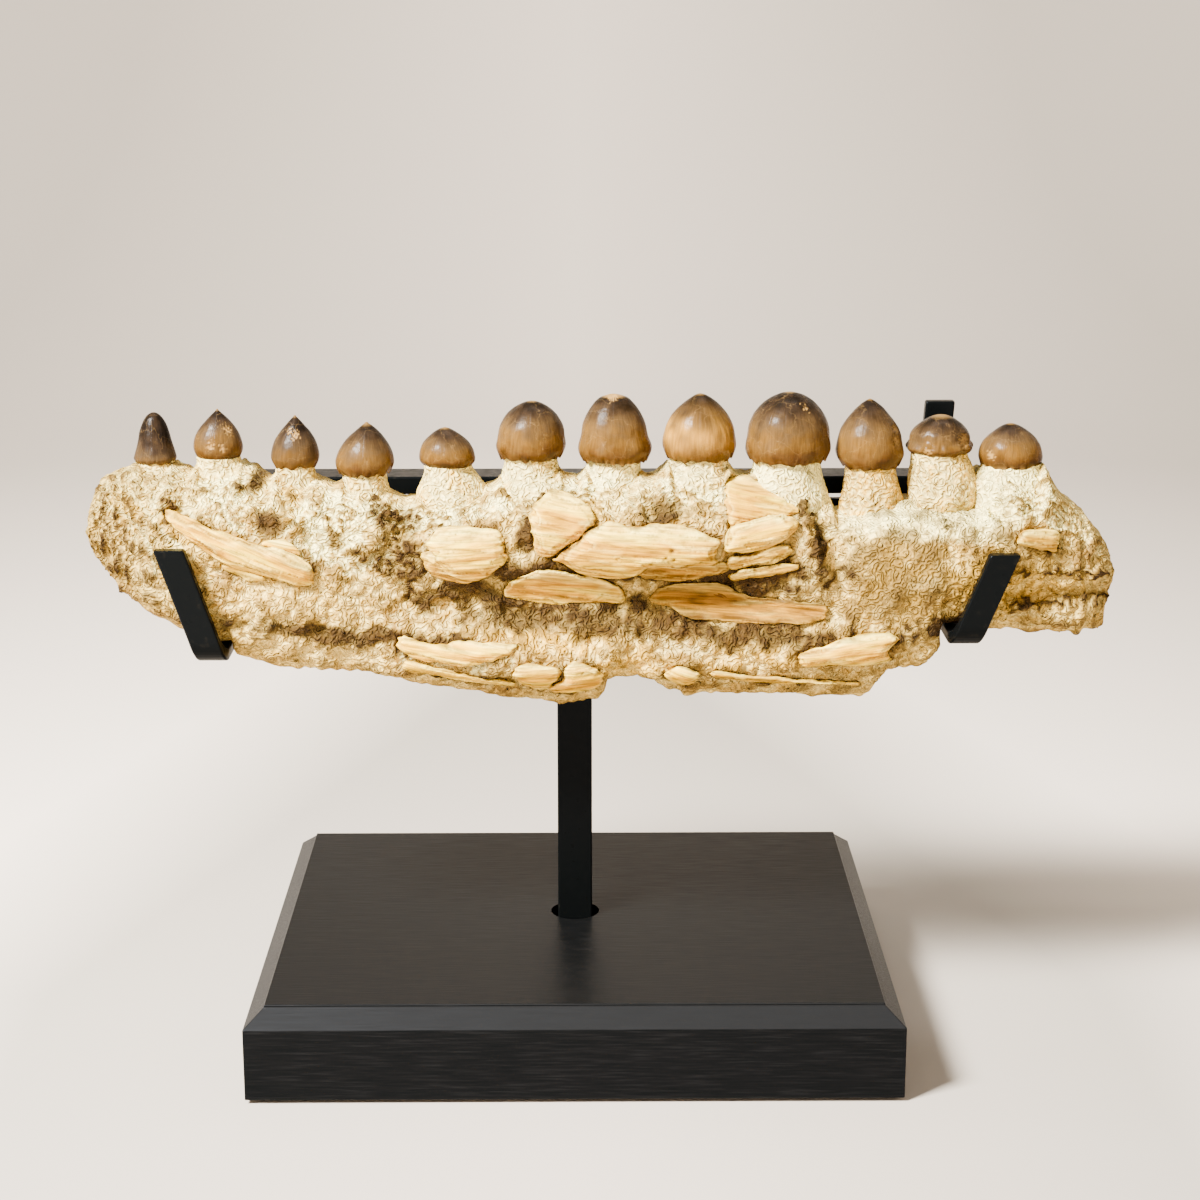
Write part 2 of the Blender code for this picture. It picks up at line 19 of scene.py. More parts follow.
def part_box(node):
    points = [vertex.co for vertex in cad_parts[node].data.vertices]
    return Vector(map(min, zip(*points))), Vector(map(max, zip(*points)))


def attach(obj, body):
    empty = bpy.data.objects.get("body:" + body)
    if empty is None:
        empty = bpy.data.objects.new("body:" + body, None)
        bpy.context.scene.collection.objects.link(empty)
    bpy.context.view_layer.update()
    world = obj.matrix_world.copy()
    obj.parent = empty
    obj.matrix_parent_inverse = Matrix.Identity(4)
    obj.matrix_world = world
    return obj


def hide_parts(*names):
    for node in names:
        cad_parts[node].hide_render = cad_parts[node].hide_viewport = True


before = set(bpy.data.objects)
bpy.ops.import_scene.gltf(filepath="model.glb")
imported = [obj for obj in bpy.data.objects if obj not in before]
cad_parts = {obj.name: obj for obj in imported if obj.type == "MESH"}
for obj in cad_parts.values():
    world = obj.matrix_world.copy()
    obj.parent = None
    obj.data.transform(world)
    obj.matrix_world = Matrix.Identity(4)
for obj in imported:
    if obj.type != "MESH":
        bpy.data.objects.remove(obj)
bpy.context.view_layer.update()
MM = 0.001

# %% [markdown]
# Rock, bone and enamel are rough at every size, from lumps down to grains. Modelling that by hand
# would take days, so it comes from noise. Two kinds are used. A sheet of noise is flat and repeats,
# and holds only waves between two lengths, which gives the worm-like ridges of gritty rock.
# A cloud of noise fills space, and suits round things such as teeth. Both have fixed seeds.

# %% Noise
SHEET_CELL = 0.3
SHEET_CELLS = 1200


def noise_sheet(seed, shortest, longest, stretch=1.0):
    """A flat, repeating field of waves between two lengths in millimetres, stretched along u."""
    grain = np.fft.rfft2(np.random.default_rng(seed).standard_normal((SHEET_CELLS, SHEET_CELLS)))
    along = np.fft.fftfreq(SHEET_CELLS, SHEET_CELL)[:, None] * stretch
    across = np.fft.rfftfreq(SHEET_CELLS, SHEET_CELL)[None, :]
    waves = np.hypot(along, across) + 1e-9
    middle = math.log(1 / math.sqrt(shortest * longest))
    width = math.log(longest / shortest) / 2
    kept = np.exp(-(((np.log(waves) - middle) / width) ** 2))
    sheet = np.fft.irfft2(grain * kept, (SHEET_CELLS, SHEET_CELLS))
    return sheet / sheet.std()


def smooth_step(value, start, end):
    """0 before start, 1 after end, and an even rise between."""
    share = np.clip((value - start) / (end - start), 0, 1)
    return share * share * (3 - 2 * share)


def read_sheet(sheet, u, v):
    """The sheet's value at places in millimetres, evened out between its cells."""
    u, v = np.asarray(u) / SHEET_CELL, np.asarray(v) / SHEET_CELL
    row, column = np.floor(u).astype(int), np.floor(v).astype(int)
    down, right = u - row, v - column
    row, column = row % SHEET_CELLS, column % SHEET_CELLS
    next_row, next_column = (row + 1) % SHEET_CELLS, (column + 1) % SHEET_CELLS
    upper = sheet[row, column] * (1 - right) + sheet[row, next_column] * right
    lower = sheet[next_row, column] * (1 - right) + sheet[next_row, next_column] * right
    return upper * (1 - down) + lower * down


def cloud(points, size, seed=0):
    """Smooth hills in space from -1 to 1, about size millimetres apart."""
    place = points / size + seed * 11.7
    cell = np.floor(place).astype(np.int64)
    part = place - cell
    part = part * part * (3 - 2 * part)
    total = np.zeros(points.shape[:-1])
    for corner in itertools.product((0, 1), repeat=3):
        at = cell + corner
        code = at[..., 0] * 73856093 ^ at[..., 1] * 19349663 ^ at[..., 2] * 83492791
        code = (code * 2654435761) & 0xFFFFFFFF
        code = ((code ^ (code >> 15)) * 2246822519) & 0xFFFFFFFF
        share = np.prod(np.where(np.array(corner) == 1, part, 1 - part), axis=-1)
        total += share * (((code ^ (code >> 13)) & 0xFFFF) / 32767.5 - 1)
    return total


WORMS = noise_sheet(11, 2.0, 3.2)
GRIT = noise_sheet(12, 0.9, 1.6)
CRUMBS = noise_sheet(13, 3.0, 7.0)
LUMPS = noise_sheet(14, 9.0, 24.0)
FIBRES = noise_sheet(15, 0.8, 2.2, stretch=9.0)
STRANDS = noise_sheet(16, 2.0, 5.0, stretch=7.0)
print("noise sheets:", 6, "of", SHEET_CELLS * SHEET_CELL, "mm")

# %% [markdown]
# Every finish is a tree of shader nodes. Colours are picked as sRGB hex values, and the
# shader needs them linear, so one function turns them. One more function adds a node with its
# settings and its links.

# %% Shader helpers


def linear(colour):
    """An sRGB hex colour as linear red, green, blue and alpha."""
    parts = [int(colour[i:i + 2], 16) / 255 for i in (1, 3, 5)]
    return (*[p / 12.92 if p <= 0.04045 else ((p + 0.055) / 1.055) ** 2.4 for p in parts], 1)


def add_node(tree, kind, inputs=None, stops=None, **settings):
    """Adds a node. inputs maps a socket to a value, a colour or another node's output."""
    made = tree.nodes.new(kind)
    for name, value in settings.items():
        setattr(made, name, value)
    for socket, value in (inputs or {}).items():
        if isinstance(value, bpy.types.NodeSocket):
            tree.links.new(value, made.inputs[socket])
        elif isinstance(value, str) and value.startswith("#"):
            made.inputs[socket].default_value = linear(value)
        else:
            made.inputs[socket].default_value = value
    if stops:
        ramp = made.color_ramp.elements
        while len(ramp) < len(stops):
            ramp.new(1)
        for element, (place, colour) in zip(ramp, stops):
            element.position = place
            element.color = linear(colour)
    return made


def new_finish(name):
    """A material with an empty principled shader, as (material, tree, shader)."""
    material = bpy.data.materials.new(name)
    material.use_nodes = True
    tree = material.node_tree
    return material, tree, tree.nodes["Principled BSDF"]


print("sand colour in linear light:", [round(v, 3) for v in linear("#DDBF95")])

# %% [markdown]
# The rock round the bone is a soft, sandy phosphate that was scraped away with needles and
# brushes, so it is dry, matt and covered in fine worm-like ridges. Low places keep brown dust and
# are also painted darker as shade, ridge tops and the shelf are painted lighter as highlight, and
# the roots of the teeth are chalky white. The mesh carries three values for each point: dust and
# painted shade, chalk and painted highlight, and ochre. The shader mixes its colours by them and
# adds the grit that is too fine to model.

# %% Sandy rock
rock_finish, tree, shader = new_finish("scraped sandy phosphate rock")
place = add_node(tree, "ShaderNodeTexCoord").outputs["Object"]
dust_and_shade = add_node(tree, "ShaderNodeAttribute", attribute_name="dust_and_shade").outputs["Fac"]
chalk_and_highlight = add_node(tree, "ShaderNodeAttribute", attribute_name="chalk_and_highlight").outputs["Fac"]
ochre = add_node(tree, "ShaderNodeAttribute", attribute_name="ochre").outputs["Fac"]
# Patches 12 mm wide and grains of 0.35 mm. The swirls, about 1 mm apart, are the contour lines
# of soft bumps 4 mm wide: the sine of a bump's height rises and falls many times on its way up
patches = add_node(tree, "ShaderNodeTexNoise", {"Vector": place, "Scale": 1 / 0.012, "Detail": 5.0})
bumps = add_node(
    tree, "ShaderNodeTexNoise", {"Vector": place, "Scale": 1 / 0.0044, "Detail": 1.4, "Roughness": 0.5},
)
phase = add_node(tree, "ShaderNodeMath", {0: bumps.outputs["Fac"], 1: 46.0}, operation="MULTIPLY")
swirls = add_node(tree, "ShaderNodeMath", {0: phase.outputs[0]}, operation="SINE")
grains = add_node(tree, "ShaderNodeTexNoise", {"Vector": place, "Scale": 1 / 0.0008, "Detail": 3.0})
sand = add_node(
    tree, "ShaderNodeValToRGB", {"Fac": patches.outputs["Fac"]},
    stops=((0.3, "#A87F36"), (0.5, "#C19A44"), (0.7, "#DEBA62")),
)
golden = add_node(tree, "ShaderNodeMix", {0: ochre, 6: sand.outputs[0], 7: "#EAB22C"}, data_type="RGBA")
# Chalk, and painted highlight on ridge tops and on the shelf.
white = add_node(tree, "ShaderNodeMix", {0: chalk_and_highlight, 6: golden.outputs[2], 7: "#FFF09C"}, data_type="RGBA")
# Dust, and painted shade in low places, creases, round the bone, on the pillow and in the trough.
dust_and_shade_mix = add_node(tree, "ShaderNodeMix", {0: dust_and_shade, 6: white.outputs[2], 7: "#321F03"}, data_type="RGBA")
# The swirl lines are darker in the swirls' grooves and lighter on their crests: painted shade and highlight on the
# bumps.
lines = add_node(
    tree, "ShaderNodeMapRange",
    {"Value": swirls.outputs[0], "From Min": -1.0, "From Max": 1.0, "To Min": 0.76, "To Max": 1.12},
)
lit = add_node(
    tree, "ShaderNodeMix", {0: 1.0, 6: dust_and_shade_mix.outputs[2], 7: lines.outputs[0]},
    data_type="RGBA", blend_type="MULTIPLY",
)
specks = add_node(
    tree, "ShaderNodeMapRange",
    {"Value": grains.outputs["Fac"], "From Min": 0.3, "From Max": 0.7, "To Min": 0.72, "To Max": 1.22},
)
speckled = add_node(
    tree, "ShaderNodeMix", {0: 1.0, 6: lit.outputs[2], 7: specks.outputs[0]},
    data_type="RGBA", blend_type="MULTIPLY",
)
swirl_relief = add_node(
    tree, "ShaderNodeBump", {"Height": swirls.outputs[0], "Strength": 1.0, "Distance": 0.00034},
)
grain_relief = add_node(
    tree, "ShaderNodeBump",
    {
        "Height": grains.outputs["Fac"], "Strength": 0.4, "Distance": 0.0003,
        "Normal": swirl_relief.outputs[0],
    },
)
pebbles = add_node(tree, "ShaderNodeTexVoronoi", {"Vector": place, "Scale": 1 / 0.0026})
domes = add_node(
    tree, "ShaderNodeMapRange",
    {"Value": pebbles.outputs["Distance"], "From Min": 0.05, "From Max": 0.2, "To Min": 1.0, "To Max": 0.0},
    interpolation_type="SMOOTHSTEP",
)
pebble_relief = add_node(
    tree, "ShaderNodeBump",
    {"Height": domes.outputs[0], "Strength": 1.0, "Distance": 0.0010, "Normal": grain_relief.outputs[0]},
)
tree.links.new(speckled.outputs[2], shader.inputs["Base Color"])
tree.links.new(pebble_relief.outputs[0], shader.inputs["Normal"])
shader.inputs["Roughness"].default_value = 0.8
shader.inputs["Specular IOR Level"].default_value = 0.12
print("finish:", rock_finish.name)

# %% [markdown]
# Fossil bone is dense and splits along its fibres, like old wood. Its skin is butter yellow with
# pale, worn ridges, and its broken edges and deep flakes are ochre to brown. Its upper half, its
# edge and the lips of its layers are also painted pale as highlight, and its cracks, steps and sides
# are painted dark as shade, the lower half a little darker. The fibres run along each flake, so this
# finish reads the flake's own UV map, laid out in metres along and across it.

# %% Fossil bone
bone_finish, tree, shader = new_finish("mineralised fossil bone")
along = add_node(tree, "ShaderNodeUVMap", uv_map="along").outputs["UV"]
place = add_node(tree, "ShaderNodeTexCoord").outputs["Object"]
dust_and_shade = add_node(tree, "ShaderNodeAttribute", attribute_name="dust_and_shade").outputs["Fac"]
chalk_and_highlight = add_node(tree, "ShaderNodeAttribute", attribute_name="chalk_and_highlight").outputs["Fac"]
ochre = add_node(tree, "ShaderNodeAttribute", attribute_name="ochre").outputs["Fac"]
# Fibres 0.5 mm wide and ten times as long, over streaks 2.5 mm wide
fibre_place = add_node(tree, "ShaderNodeMapping", {"Vector": along, "Scale": (90.0, 1100.0, 1.0)})
streak_place = add_node(tree, "ShaderNodeMapping", {"Vector": along, "Scale": (35.0, 260.0, 1.0)})
fibres = add_node(
    tree, "ShaderNodeTexNoise",
    {"Vector": fibre_place.outputs[0], "Scale": 1.0, "Detail": 4.0, "Distortion": 0.6},
)
streaks = add_node(
    tree, "ShaderNodeTexNoise",
    {"Vector": streak_place.outputs[0], "Scale": 1.0, "Detail": 4.0, "Distortion": 0.8},
)
patches = add_node(tree, "ShaderNodeTexNoise", {"Vector": place, "Scale": 1 / 0.007, "Detail": 4.0})
butter = add_node(
    tree, "ShaderNodeValToRGB", {"Fac": streaks.outputs["Fac"]},
    stops=((0.30, "#B87C08"), (0.42, "#E4A00A"), (0.54, "#FCBE0E"), (0.70, "#FFDA38")),
)
amber = add_node(
    tree, "ShaderNodeValToRGB", {"Fac": streaks.outputs["Fac"]},
    stops=((0.30, "#4A2F06"), (0.5, "#7E530A"), (0.72, "#B47E14")),
)
toned = add_node(
    tree, "ShaderNodeMix", {0: ochre, 6: butter.outputs[0], 7: amber.outputs[0]}, data_type="RGBA",
)
washed = add_node(
    tree, "ShaderNodeMapRange",
    {"Value": patches.outputs["Fac"], "From Min": 0.35, "From Max": 0.65, "To Min": 0.86, "To Max": 1.08},
)
patched = add_node(
    tree, "ShaderNodeMix", {0: 1.0, 6: toned.outputs[2], 7: washed.outputs[0]},
    data_type="RGBA", blend_type="MULTIPLY",
)
# Pale worn bone, and the painted highlight on each flake's upper half, edge and layer lips.
worn = add_node(tree, "ShaderNodeMix", {0: chalk_and_highlight, 6: patched.outputs[2], 7: "#FFE472"}, data_type="RGBA")
lines = add_node(
    tree, "ShaderNodeMapRange",
    {"Value": fibres.outputs["Fac"], "From Min": 0.35, "From Max": 0.62, "To Min": 0.5, "To Max": 1.15},
)
lined = add_node(
    tree, "ShaderNodeMix", {0: 1.0, 6: worn.outputs[2], 7: lines.outputs[0]},
    data_type="RGBA", blend_type="MULTIPLY",
)
# Dust, and painted shade in cracks, at the foot of each layer and down the sides.
dust_and_shade_mix = add_node(tree, "ShaderNodeMix", {0: dust_and_shade, 6: lined.outputs[2], 7: "#402508"}, data_type="RGBA")
fibre_relief = add_node(
    tree, "ShaderNodeBump", {"Height": fibres.outputs["Fac"], "Strength": 1.0, "Distance": 0.0006},
)
tree.links.new(dust_and_shade_mix.outputs[2], shader.inputs["Base Color"])
tree.links.new(fibre_relief.outputs[0], shader.inputs["Normal"])
shader.inputs["Roughness"].default_value = 0.5
shader.inputs["Specular IOR Level"].default_value = 0.06
print("finish:", bone_finish.name)

# %% [markdown]
# The crowns are fossil enamel: a hard, slightly see-through skin over brown dentine. It is still
# glossy. Its tips are stained grey-brown and its lower half glows honey gold, partly its own tone
# and partly a painted soft highlight, while its foot is painted darker as shade. It has growth lines,
# hairline cracks and pits. The mesh gives the height on the crown and the pale, chipped places,
# some of them painted glints.

# %% Tooth enamel
enamel_finish, tree, shader = new_finish("glossy fossil enamel")
place = add_node(tree, "ShaderNodeTexCoord").outputs["Object"]
round_crown = add_node(tree, "ShaderNodeUVMap", uv_map="along").outputs["UV"]
height = add_node(tree, "ShaderNodeAttribute", attribute_name="height").outputs["Fac"]
chalk_and_highlight = add_node(tree, "ShaderNodeAttribute", attribute_name="chalk_and_highlight").outputs["Fac"]
honey = add_node(tree, "ShaderNodeAttribute", attribute_name="ochre").outputs["Fac"]
# Stains 5 mm wide, growth lines 0.6 mm apart and pits of 0.5 mm
stains = add_node(tree, "ShaderNodeTexNoise", {"Vector": place, "Scale": 1 / 0.005, "Detail": 5.0})
line_place = add_node(tree, "ShaderNodeMapping", {"Vector": round_crown, "Scale": (1300.0, 160.0, 1.0)})
growth = add_node(
    tree, "ShaderNodeTexNoise",
    {"Vector": line_place.outputs[0], "Scale": 1.0, "Detail": 3.0, "Distortion": 0.5},
)
pits = add_node(tree, "ShaderNodeTexNoise", {"Vector": place, "Scale": 1 / 0.0011, "Detail": 2.0})
shifted = add_node(
    tree, "ShaderNodeMapRange",
    {"Value": stains.outputs["Fac"], "From Min": 0.3, "From Max": 0.7, "To Min": -0.16, "To Max": 0.16},
)
level = add_node(tree, "ShaderNodeMath", {0: height, 1: shifted.outputs[0]}, operation="ADD")
# Darker at the foot of the crown, painted shade under its bulge; the dark grey-brown tip is stain.
brown = add_node(
    tree, "ShaderNodeValToRGB", {"Fac": level.outputs[0]},
    stops=(
        (0.0, "#2A1906"), (0.12, "#3C240A"), (0.32, "#4C3414"), (0.6, "#3C2D1B"),
        (0.82, "#251B12"), (1.0, "#110B06"),
    ),
)
# Honey band round the lower middle: partly the enamel's own tone, partly a painted soft highlight.
honey_and_highlight = add_node(tree, "ShaderNodeMix", {0: honey, 6: brown.outputs[0], 7: "#B8822A"}, data_type="RGBA")
lines = add_node(
    tree, "ShaderNodeMapRange",
    {"Value": growth.outputs["Fac"], "From Min": 0.35, "From Max": 0.65, "To Min": 0.8, "To Max": 1.14},
)
lined = add_node(
    tree, "ShaderNodeMix", {0: 1.0, 6: honey_and_highlight.outputs[2], 7: lines.outputs[0]},
    data_type="RGBA", blend_type="MULTIPLY",
)
warped = add_node(
    tree, "ShaderNodeVectorMath",
    {0: stains.outputs["Color"], 1: (0.008, 0.008, 0.008), 2: place}, operation="MULTIPLY_ADD",
)
cracked = add_node(
    tree, "ShaderNodeTexVoronoi", {"Vector": warped.outputs[0], "Scale": 1 / 0.009}, feature="DISTANCE_TO_EDGE",
)
hairlines = add_node(
    tree, "ShaderNodeMapRange",
    {"Value": cracked.outputs["Distance"], "From Min": 0.0, "From Max": 0.012, "To Min": 0.12, "To Max": 0.0},
)
veined = add_node(
    tree, "ShaderNodeMix", {0: hairlines.outputs[0], 6: lined.outputs[2], 7: "#B08A52"}, data_type="RGBA",
)
chipped = add_node(tree, "ShaderNodeMix", {0: chalk_and_highlight, 6: veined.outputs[2], 7: "#94703A"}, data_type="RGBA")
line_relief = add_node(
    tree, "ShaderNodeBump", {"Height": growth.outputs["Fac"], "Strength": 0.25, "Distance": 0.0003},
)
pit_relief = add_node(
    tree, "ShaderNodeBump",
    {"Height": pits.outputs["Fac"], "Strength": 0.22, "Distance": 0.0003, "Normal": line_relief.outputs[0]},
)
dulled = add_node(
    tree, "ShaderNodeMapRange",
    {"Value": stains.outputs["Fac"], "From Min": 0.3, "From Max": 0.7, "To Min": 0.2, "To Max": 0.36},
)
tree.links.new(chipped.outputs[2], shader.inputs["Base Color"])
tree.links.new(pit_relief.outputs[0], shader.inputs["Normal"])
tree.links.new(dulled.outputs[0], shader.inputs["Roughness"])
shader.inputs["Specular IOR Level"].default_value = 0.06
shader.inputs["Subsurface Weight"].default_value = 0.06
shader.inputs["Subsurface Radius"].default_value = (0.9, 0.5, 0.25)
shader.inputs["Subsurface Scale"].default_value = 0.002
print("finish:", enamel_finish.name)

# %% [markdown]
# The stand's bars are mild steel, brushed with satin black paint. The paint is smooth but not
# flat, and it is rubbed thin on the long edges, where dark metal shows through.

# %% Painted steel
steel_finish, tree, shader = new_finish("satin black painted mild steel")
place = add_node(tree, "ShaderNodeTexCoord").outputs["Object"]
rubbed = add_node(tree, "ShaderNodeAttribute", attribute_name="rubbed").outputs["Fac"]
# Paint ripple 1.5 mm wide and rub marks 3 mm long
ripple = add_node(tree, "ShaderNodeTexNoise", {"Vector": place, "Scale": 1 / 0.0015, "Detail": 2.0})
marks = add_node(tree, "ShaderNodeTexNoise", {"Vector": place, "Scale": 1 / 0.003, "Detail": 5.0})
patchy = add_node(
    tree, "ShaderNodeMapRange",
    {"Value": marks.outputs["Fac"], "From Min": 0.62, "From Max": 0.76, "To Min": 0.0, "To Max": 1.0},
)
bared = add_node(tree, "ShaderNodeMath", {0: rubbed, 1: patchy.outputs[0]}, operation="MULTIPLY")
painted = add_node(
    tree, "ShaderNodeMix", {0: bared.outputs[0], 6: "#050606", 7: "#242019"}, data_type="RGBA",
)
sheen = add_node(
    tree, "ShaderNodeMapRange",
    {"Value": marks.outputs["Fac"], "From Min": 0.3, "From Max": 0.7, "To Min": 0.26, "To Max": 0.4},
)
ripple_relief = add_node(
    tree, "ShaderNodeBump", {"Height": ripple.outputs["Fac"], "Strength": 0.08, "Distance": 0.0002},
)
tree.links.new(painted.outputs[2], shader.inputs["Base Color"])
tree.links.new(sheen.outputs[0], shader.inputs["Roughness"])
tree.links.new(ripple_relief.outputs[0], shader.inputs["Normal"])
shader.inputs["Specular IOR Level"].default_value = 0.04
shader.inputs["Specular Tint"].default_value = linear("#E6F0FF")
print("finish:", steel_finish.name)

# %% [markdown]
# The plinth is a hardwood board, stained black and rubbed with a thin satin lacquer. Its grain
# still shows as long, fine pores that run along X, and the lacquer mirrors the post softly.

# %% Stained wood
wood_finish, tree, shader = new_finish("black stained hardwood")
place = add_node(tree, "ShaderNodeTexCoord").outputs["Object"]
# Pores 0.4 mm wide and 12 mm long, in growth bands 6 mm wide
pore_place = add_node(tree, "ShaderNodeMapping", {"Vector": place, "Scale": (80.0, 2200.0, 2200.0)})
band_place = add_node(tree, "ShaderNodeMapping", {"Vector": place, "Scale": (9.0, 170.0, 170.0)})
pores = add_node(
    tree, "ShaderNodeTexNoise", {"Vector": pore_place.outputs[0], "Scale": 1.0, "Detail": 3.0},
)
bands = add_node(
    tree, "ShaderNodeTexNoise", {"Vector": band_place.outputs[0], "Scale": 1.0, "Detail": 3.0},
)
stain = add_node(
    tree, "ShaderNodeValToRGB", {"Fac": pores.outputs["Fac"]},
    stops=((0.35, "#050606"), (0.55, "#090909"), (0.75, "#121212")),
)
# The sloping rim faces are painted a lighter grey, as if more lit.
sloped = add_node(tree, "ShaderNodeAttribute", attribute_name="sloped").outputs["Fac"]
slope_painted_lighter = add_node(tree, "ShaderNodeMix", {0: sloped, 6: stain.outputs[0], 7: "#151515"}, data_type="RGBA")
lacquer = add_node(
    tree, "ShaderNodeMapRange",
    {"Value": pores.outputs["Fac"], "From Min": 0.3, "From Max": 0.7, "To Min": 0.3, "To Max": 0.46},
)
band_relief = add_node(
    tree, "ShaderNodeBump", {"Height": bands.outputs["Fac"], "Strength": 0.08, "Distance": 0.0004},
)
pore_relief = add_node(
    tree, "ShaderNodeBump",
    {"Height": pores.outputs["Fac"], "Strength": 0.22, "Distance": 0.0002, "Normal": band_relief.outputs[0]},
)
tree.links.new(slope_painted_lighter.outputs[2], shader.inputs["Base Color"])
tree.links.new(lacquer.outputs[0], shader.inputs["Roughness"])
tree.links.new(pore_relief.outputs[0], shader.inputs["Normal"])
shader.inputs["Specular IOR Level"].default_value = 0.05
shader.inputs["Specular Tint"].default_value = linear("#E0EDFF")
print("finish:", wood_finish.name)

# %% [markdown]
# Self-adhesive felt is glued under such a plinth. It is pressed wool: matt, black and hairy.

# %% Felt
felt_finish, tree, shader = new_finish("black pressed felt")
place = add_node(tree, "ShaderNodeTexCoord").outputs["Object"]
# Hairs 0.3 mm wide, drawn coarser than real wool so that they show
hairs = add_node(
    tree, "ShaderNodeTexNoise", {"Vector": place, "Scale": 1 / 0.0006, "Detail": 4.0, "Distortion": 3.0},
)
wool = add_node(
    tree, "ShaderNodeValToRGB", {"Fac": hairs.outputs["Fac"]}, stops=((0.35, "#0E0E0E"), (0.7, "#2E2D2C")),
)
hair_relief = add_node(
    tree, "ShaderNodeBump", {"Height": hairs.outputs["Fac"], "Strength": 0.8, "Distance": 0.0004},
)
tree.links.new(wool.outputs[0], shader.inputs["Base Color"])
tree.links.new(hair_relief.outputs[0], shader.inputs["Normal"])
shader.inputs["Roughness"].default_value = 0.95
shader.inputs["Sheen Weight"].default_value = 0.5
print("finish:", felt_finish.name)

# %% [markdown]
# The rest of the script works in millimetres and turns to metres only here, where a mesh is made.
# Each point may carry named values for the shader, and each corner a place on the UV map.

# %% Mesh helper


def make_piece(name, points, faces, finish, values=None, along=None, smooth=True):
    """A mesh object from points in millimetres, riding on the stand's one body."""
    mesh = bpy.data.meshes.new(name)
    points = np.asarray(points, float)
    mesh.from_pydata((points * MM).tolist(), [], [list(map(int, face)) for face in faces])
    for key, value in (values or {}).items():
        stored = mesh.attributes.new(key, "FLOAT", "POINT")
        stored.data.foreach_set("value", np.clip(np.asarray(value, float).ravel(), 0, 1))
    if along is not None:
        corners = np.zeros(len(mesh.loops), int)
        mesh.loops.foreach_get("vertex_index", corners)
        layer = mesh.uv_layers.new(name="along")
        layer.data.foreach_set("uv", (np.asarray(along)[corners] * MM).ravel())
    bm = bmesh.new()
    bm.from_mesh(mesh)
    bmesh.ops.recalc_face_normals(bm, faces=bm.faces)
    bm.to_mesh(mesh)
    bm.free()
    mesh.polygons.foreach_set("use_smooth", [smooth] * len(mesh.polygons))
    mesh.materials.append(finish)
    piece = bpy.data.objects.new(name, mesh)
    bpy.context.scene.collection.objects.link(piece)
    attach(piece, "root")
    return piece


def grid_faces(rows, columns, closed):
    """Quads of a grid of points; closed joins its last column to its first."""
    columns_used = np.arange(columns if closed else columns - 1)
    row = np.repeat(np.arange(rows - 1), len(columns_used))
    column = np.tile(columns_used, rows - 1)
    beside = (column + 1) % columns
    return np.stack(
        (row * columns + column, row * columns + beside, (row + 1) * columns + beside,
         (row + 1) * columns + column), axis=1,
    )


print("faces of a 3 by 4 grid:", len(grid_faces(3, 4, False)))

# %% [markdown]
# The rock's outline follows two lines, its crest and its belly, given as (x, z) corners. Between
# them the face bulges towards the viewer. These are the numbers of the CAD model, so the skin sits
# where the solid is. Ragged noise is added to both lines, because rock never breaks along a line.

# %% Outline and large forms
TOOTH_LINE, BELLY_LINE, FACE_PLANE, BACK_PLANE = -33.0, -43.0, -54.0, -11.7
FRONT_TAPER, HIND_TAPER, END_THICKNESS = 26.0, 12.0, 0.62
BACK_ROUNDING, FACE_ROUNDING, SHOULDER_ROUNDING, LEDGE_ROUNDING = 2.8, 2.8, 2.3, 5.0
LEDGE = (84, 96, 138, 156)
CREST = np.array((
    (-166.6, 193), (-165.5, 200), (-163, 206.3), (-152, 210.6), (-136, 210.3), (-131, 208.4),
    (-113.5, 210), (-110, 210.4), (-105, 206.2), (-84, 204.6), (-60, 199.6), (-51, 199.5),
    (-28, 203.5), (0, 207.2), (22, 206.6), (30, 208.2), (57, 208), (84, 201), (90, 194.6),
    (95, 194.6), (110, 197), (117, 198.6), (138, 205.8), (162, 208.2), (169, 200.5), (176, 195),
    (182, 187.5), (185.4, 180),
))
BELLY = np.array((
    (-166.6, 190), (-164.4, 181.5), (-156, 168.8), (-143, 159.8), (-131, 153.8), (-129.6, 151.7),
    (-118, 151.6), (-116.6, 146.6), (-102, 142.2), (-75, 140.6), (-52, 136), (-25, 131.2),
    (-4, 128.6), (8, 130.4), (10, 132.8), (11.5, 137.4), (22, 139.4), (32, 134), (39.5, 130.8),
    (50, 132.6), (100, 130.8), (102.6, 132.6), (107.5, 140), (122, 143.4), (125, 148),
    (126.6, 157.7), (140.4, 157.7), (142, 155.8), (173, 153.6), (182, 156.6), (184, 166.6),
    (185.4, 176),
))
Swell = namedtuple("Swell", "x z half_length half_height rise")
SWELLS = (
    Swell(18, 188, 52, 11, 4.5), Swell(22, 166, 60, 8, -7), Swell(-45, 165, 26, 11, -3.5),
    Swell(-58, 184, 9, 18, -4), Swell(-75, 180, 13, 16, -2.5), Swell(-28, 145, 42, 8, 5),
    Swell(76, 146, 46, 9, 5), Swell(116, 176, 34, 22, 5.5), Swell(-96, 163, 36, 16, 3),
    Swell(-113, 187, 30, 9, 2.5), Swell(-158, 180, 14, 26, -4), Swell(168, 168.5, 24, 3.2, -5),
    Swell(166, 161, 24, 6, 1.5), Swell(151, 197, 15, 13, 3), Swell(90, 182, 3.5, 16, -4),
)
Tooth = namedtuple("Tooth", "x base_z tip_z crown neck root swell root_shift lean dome power")
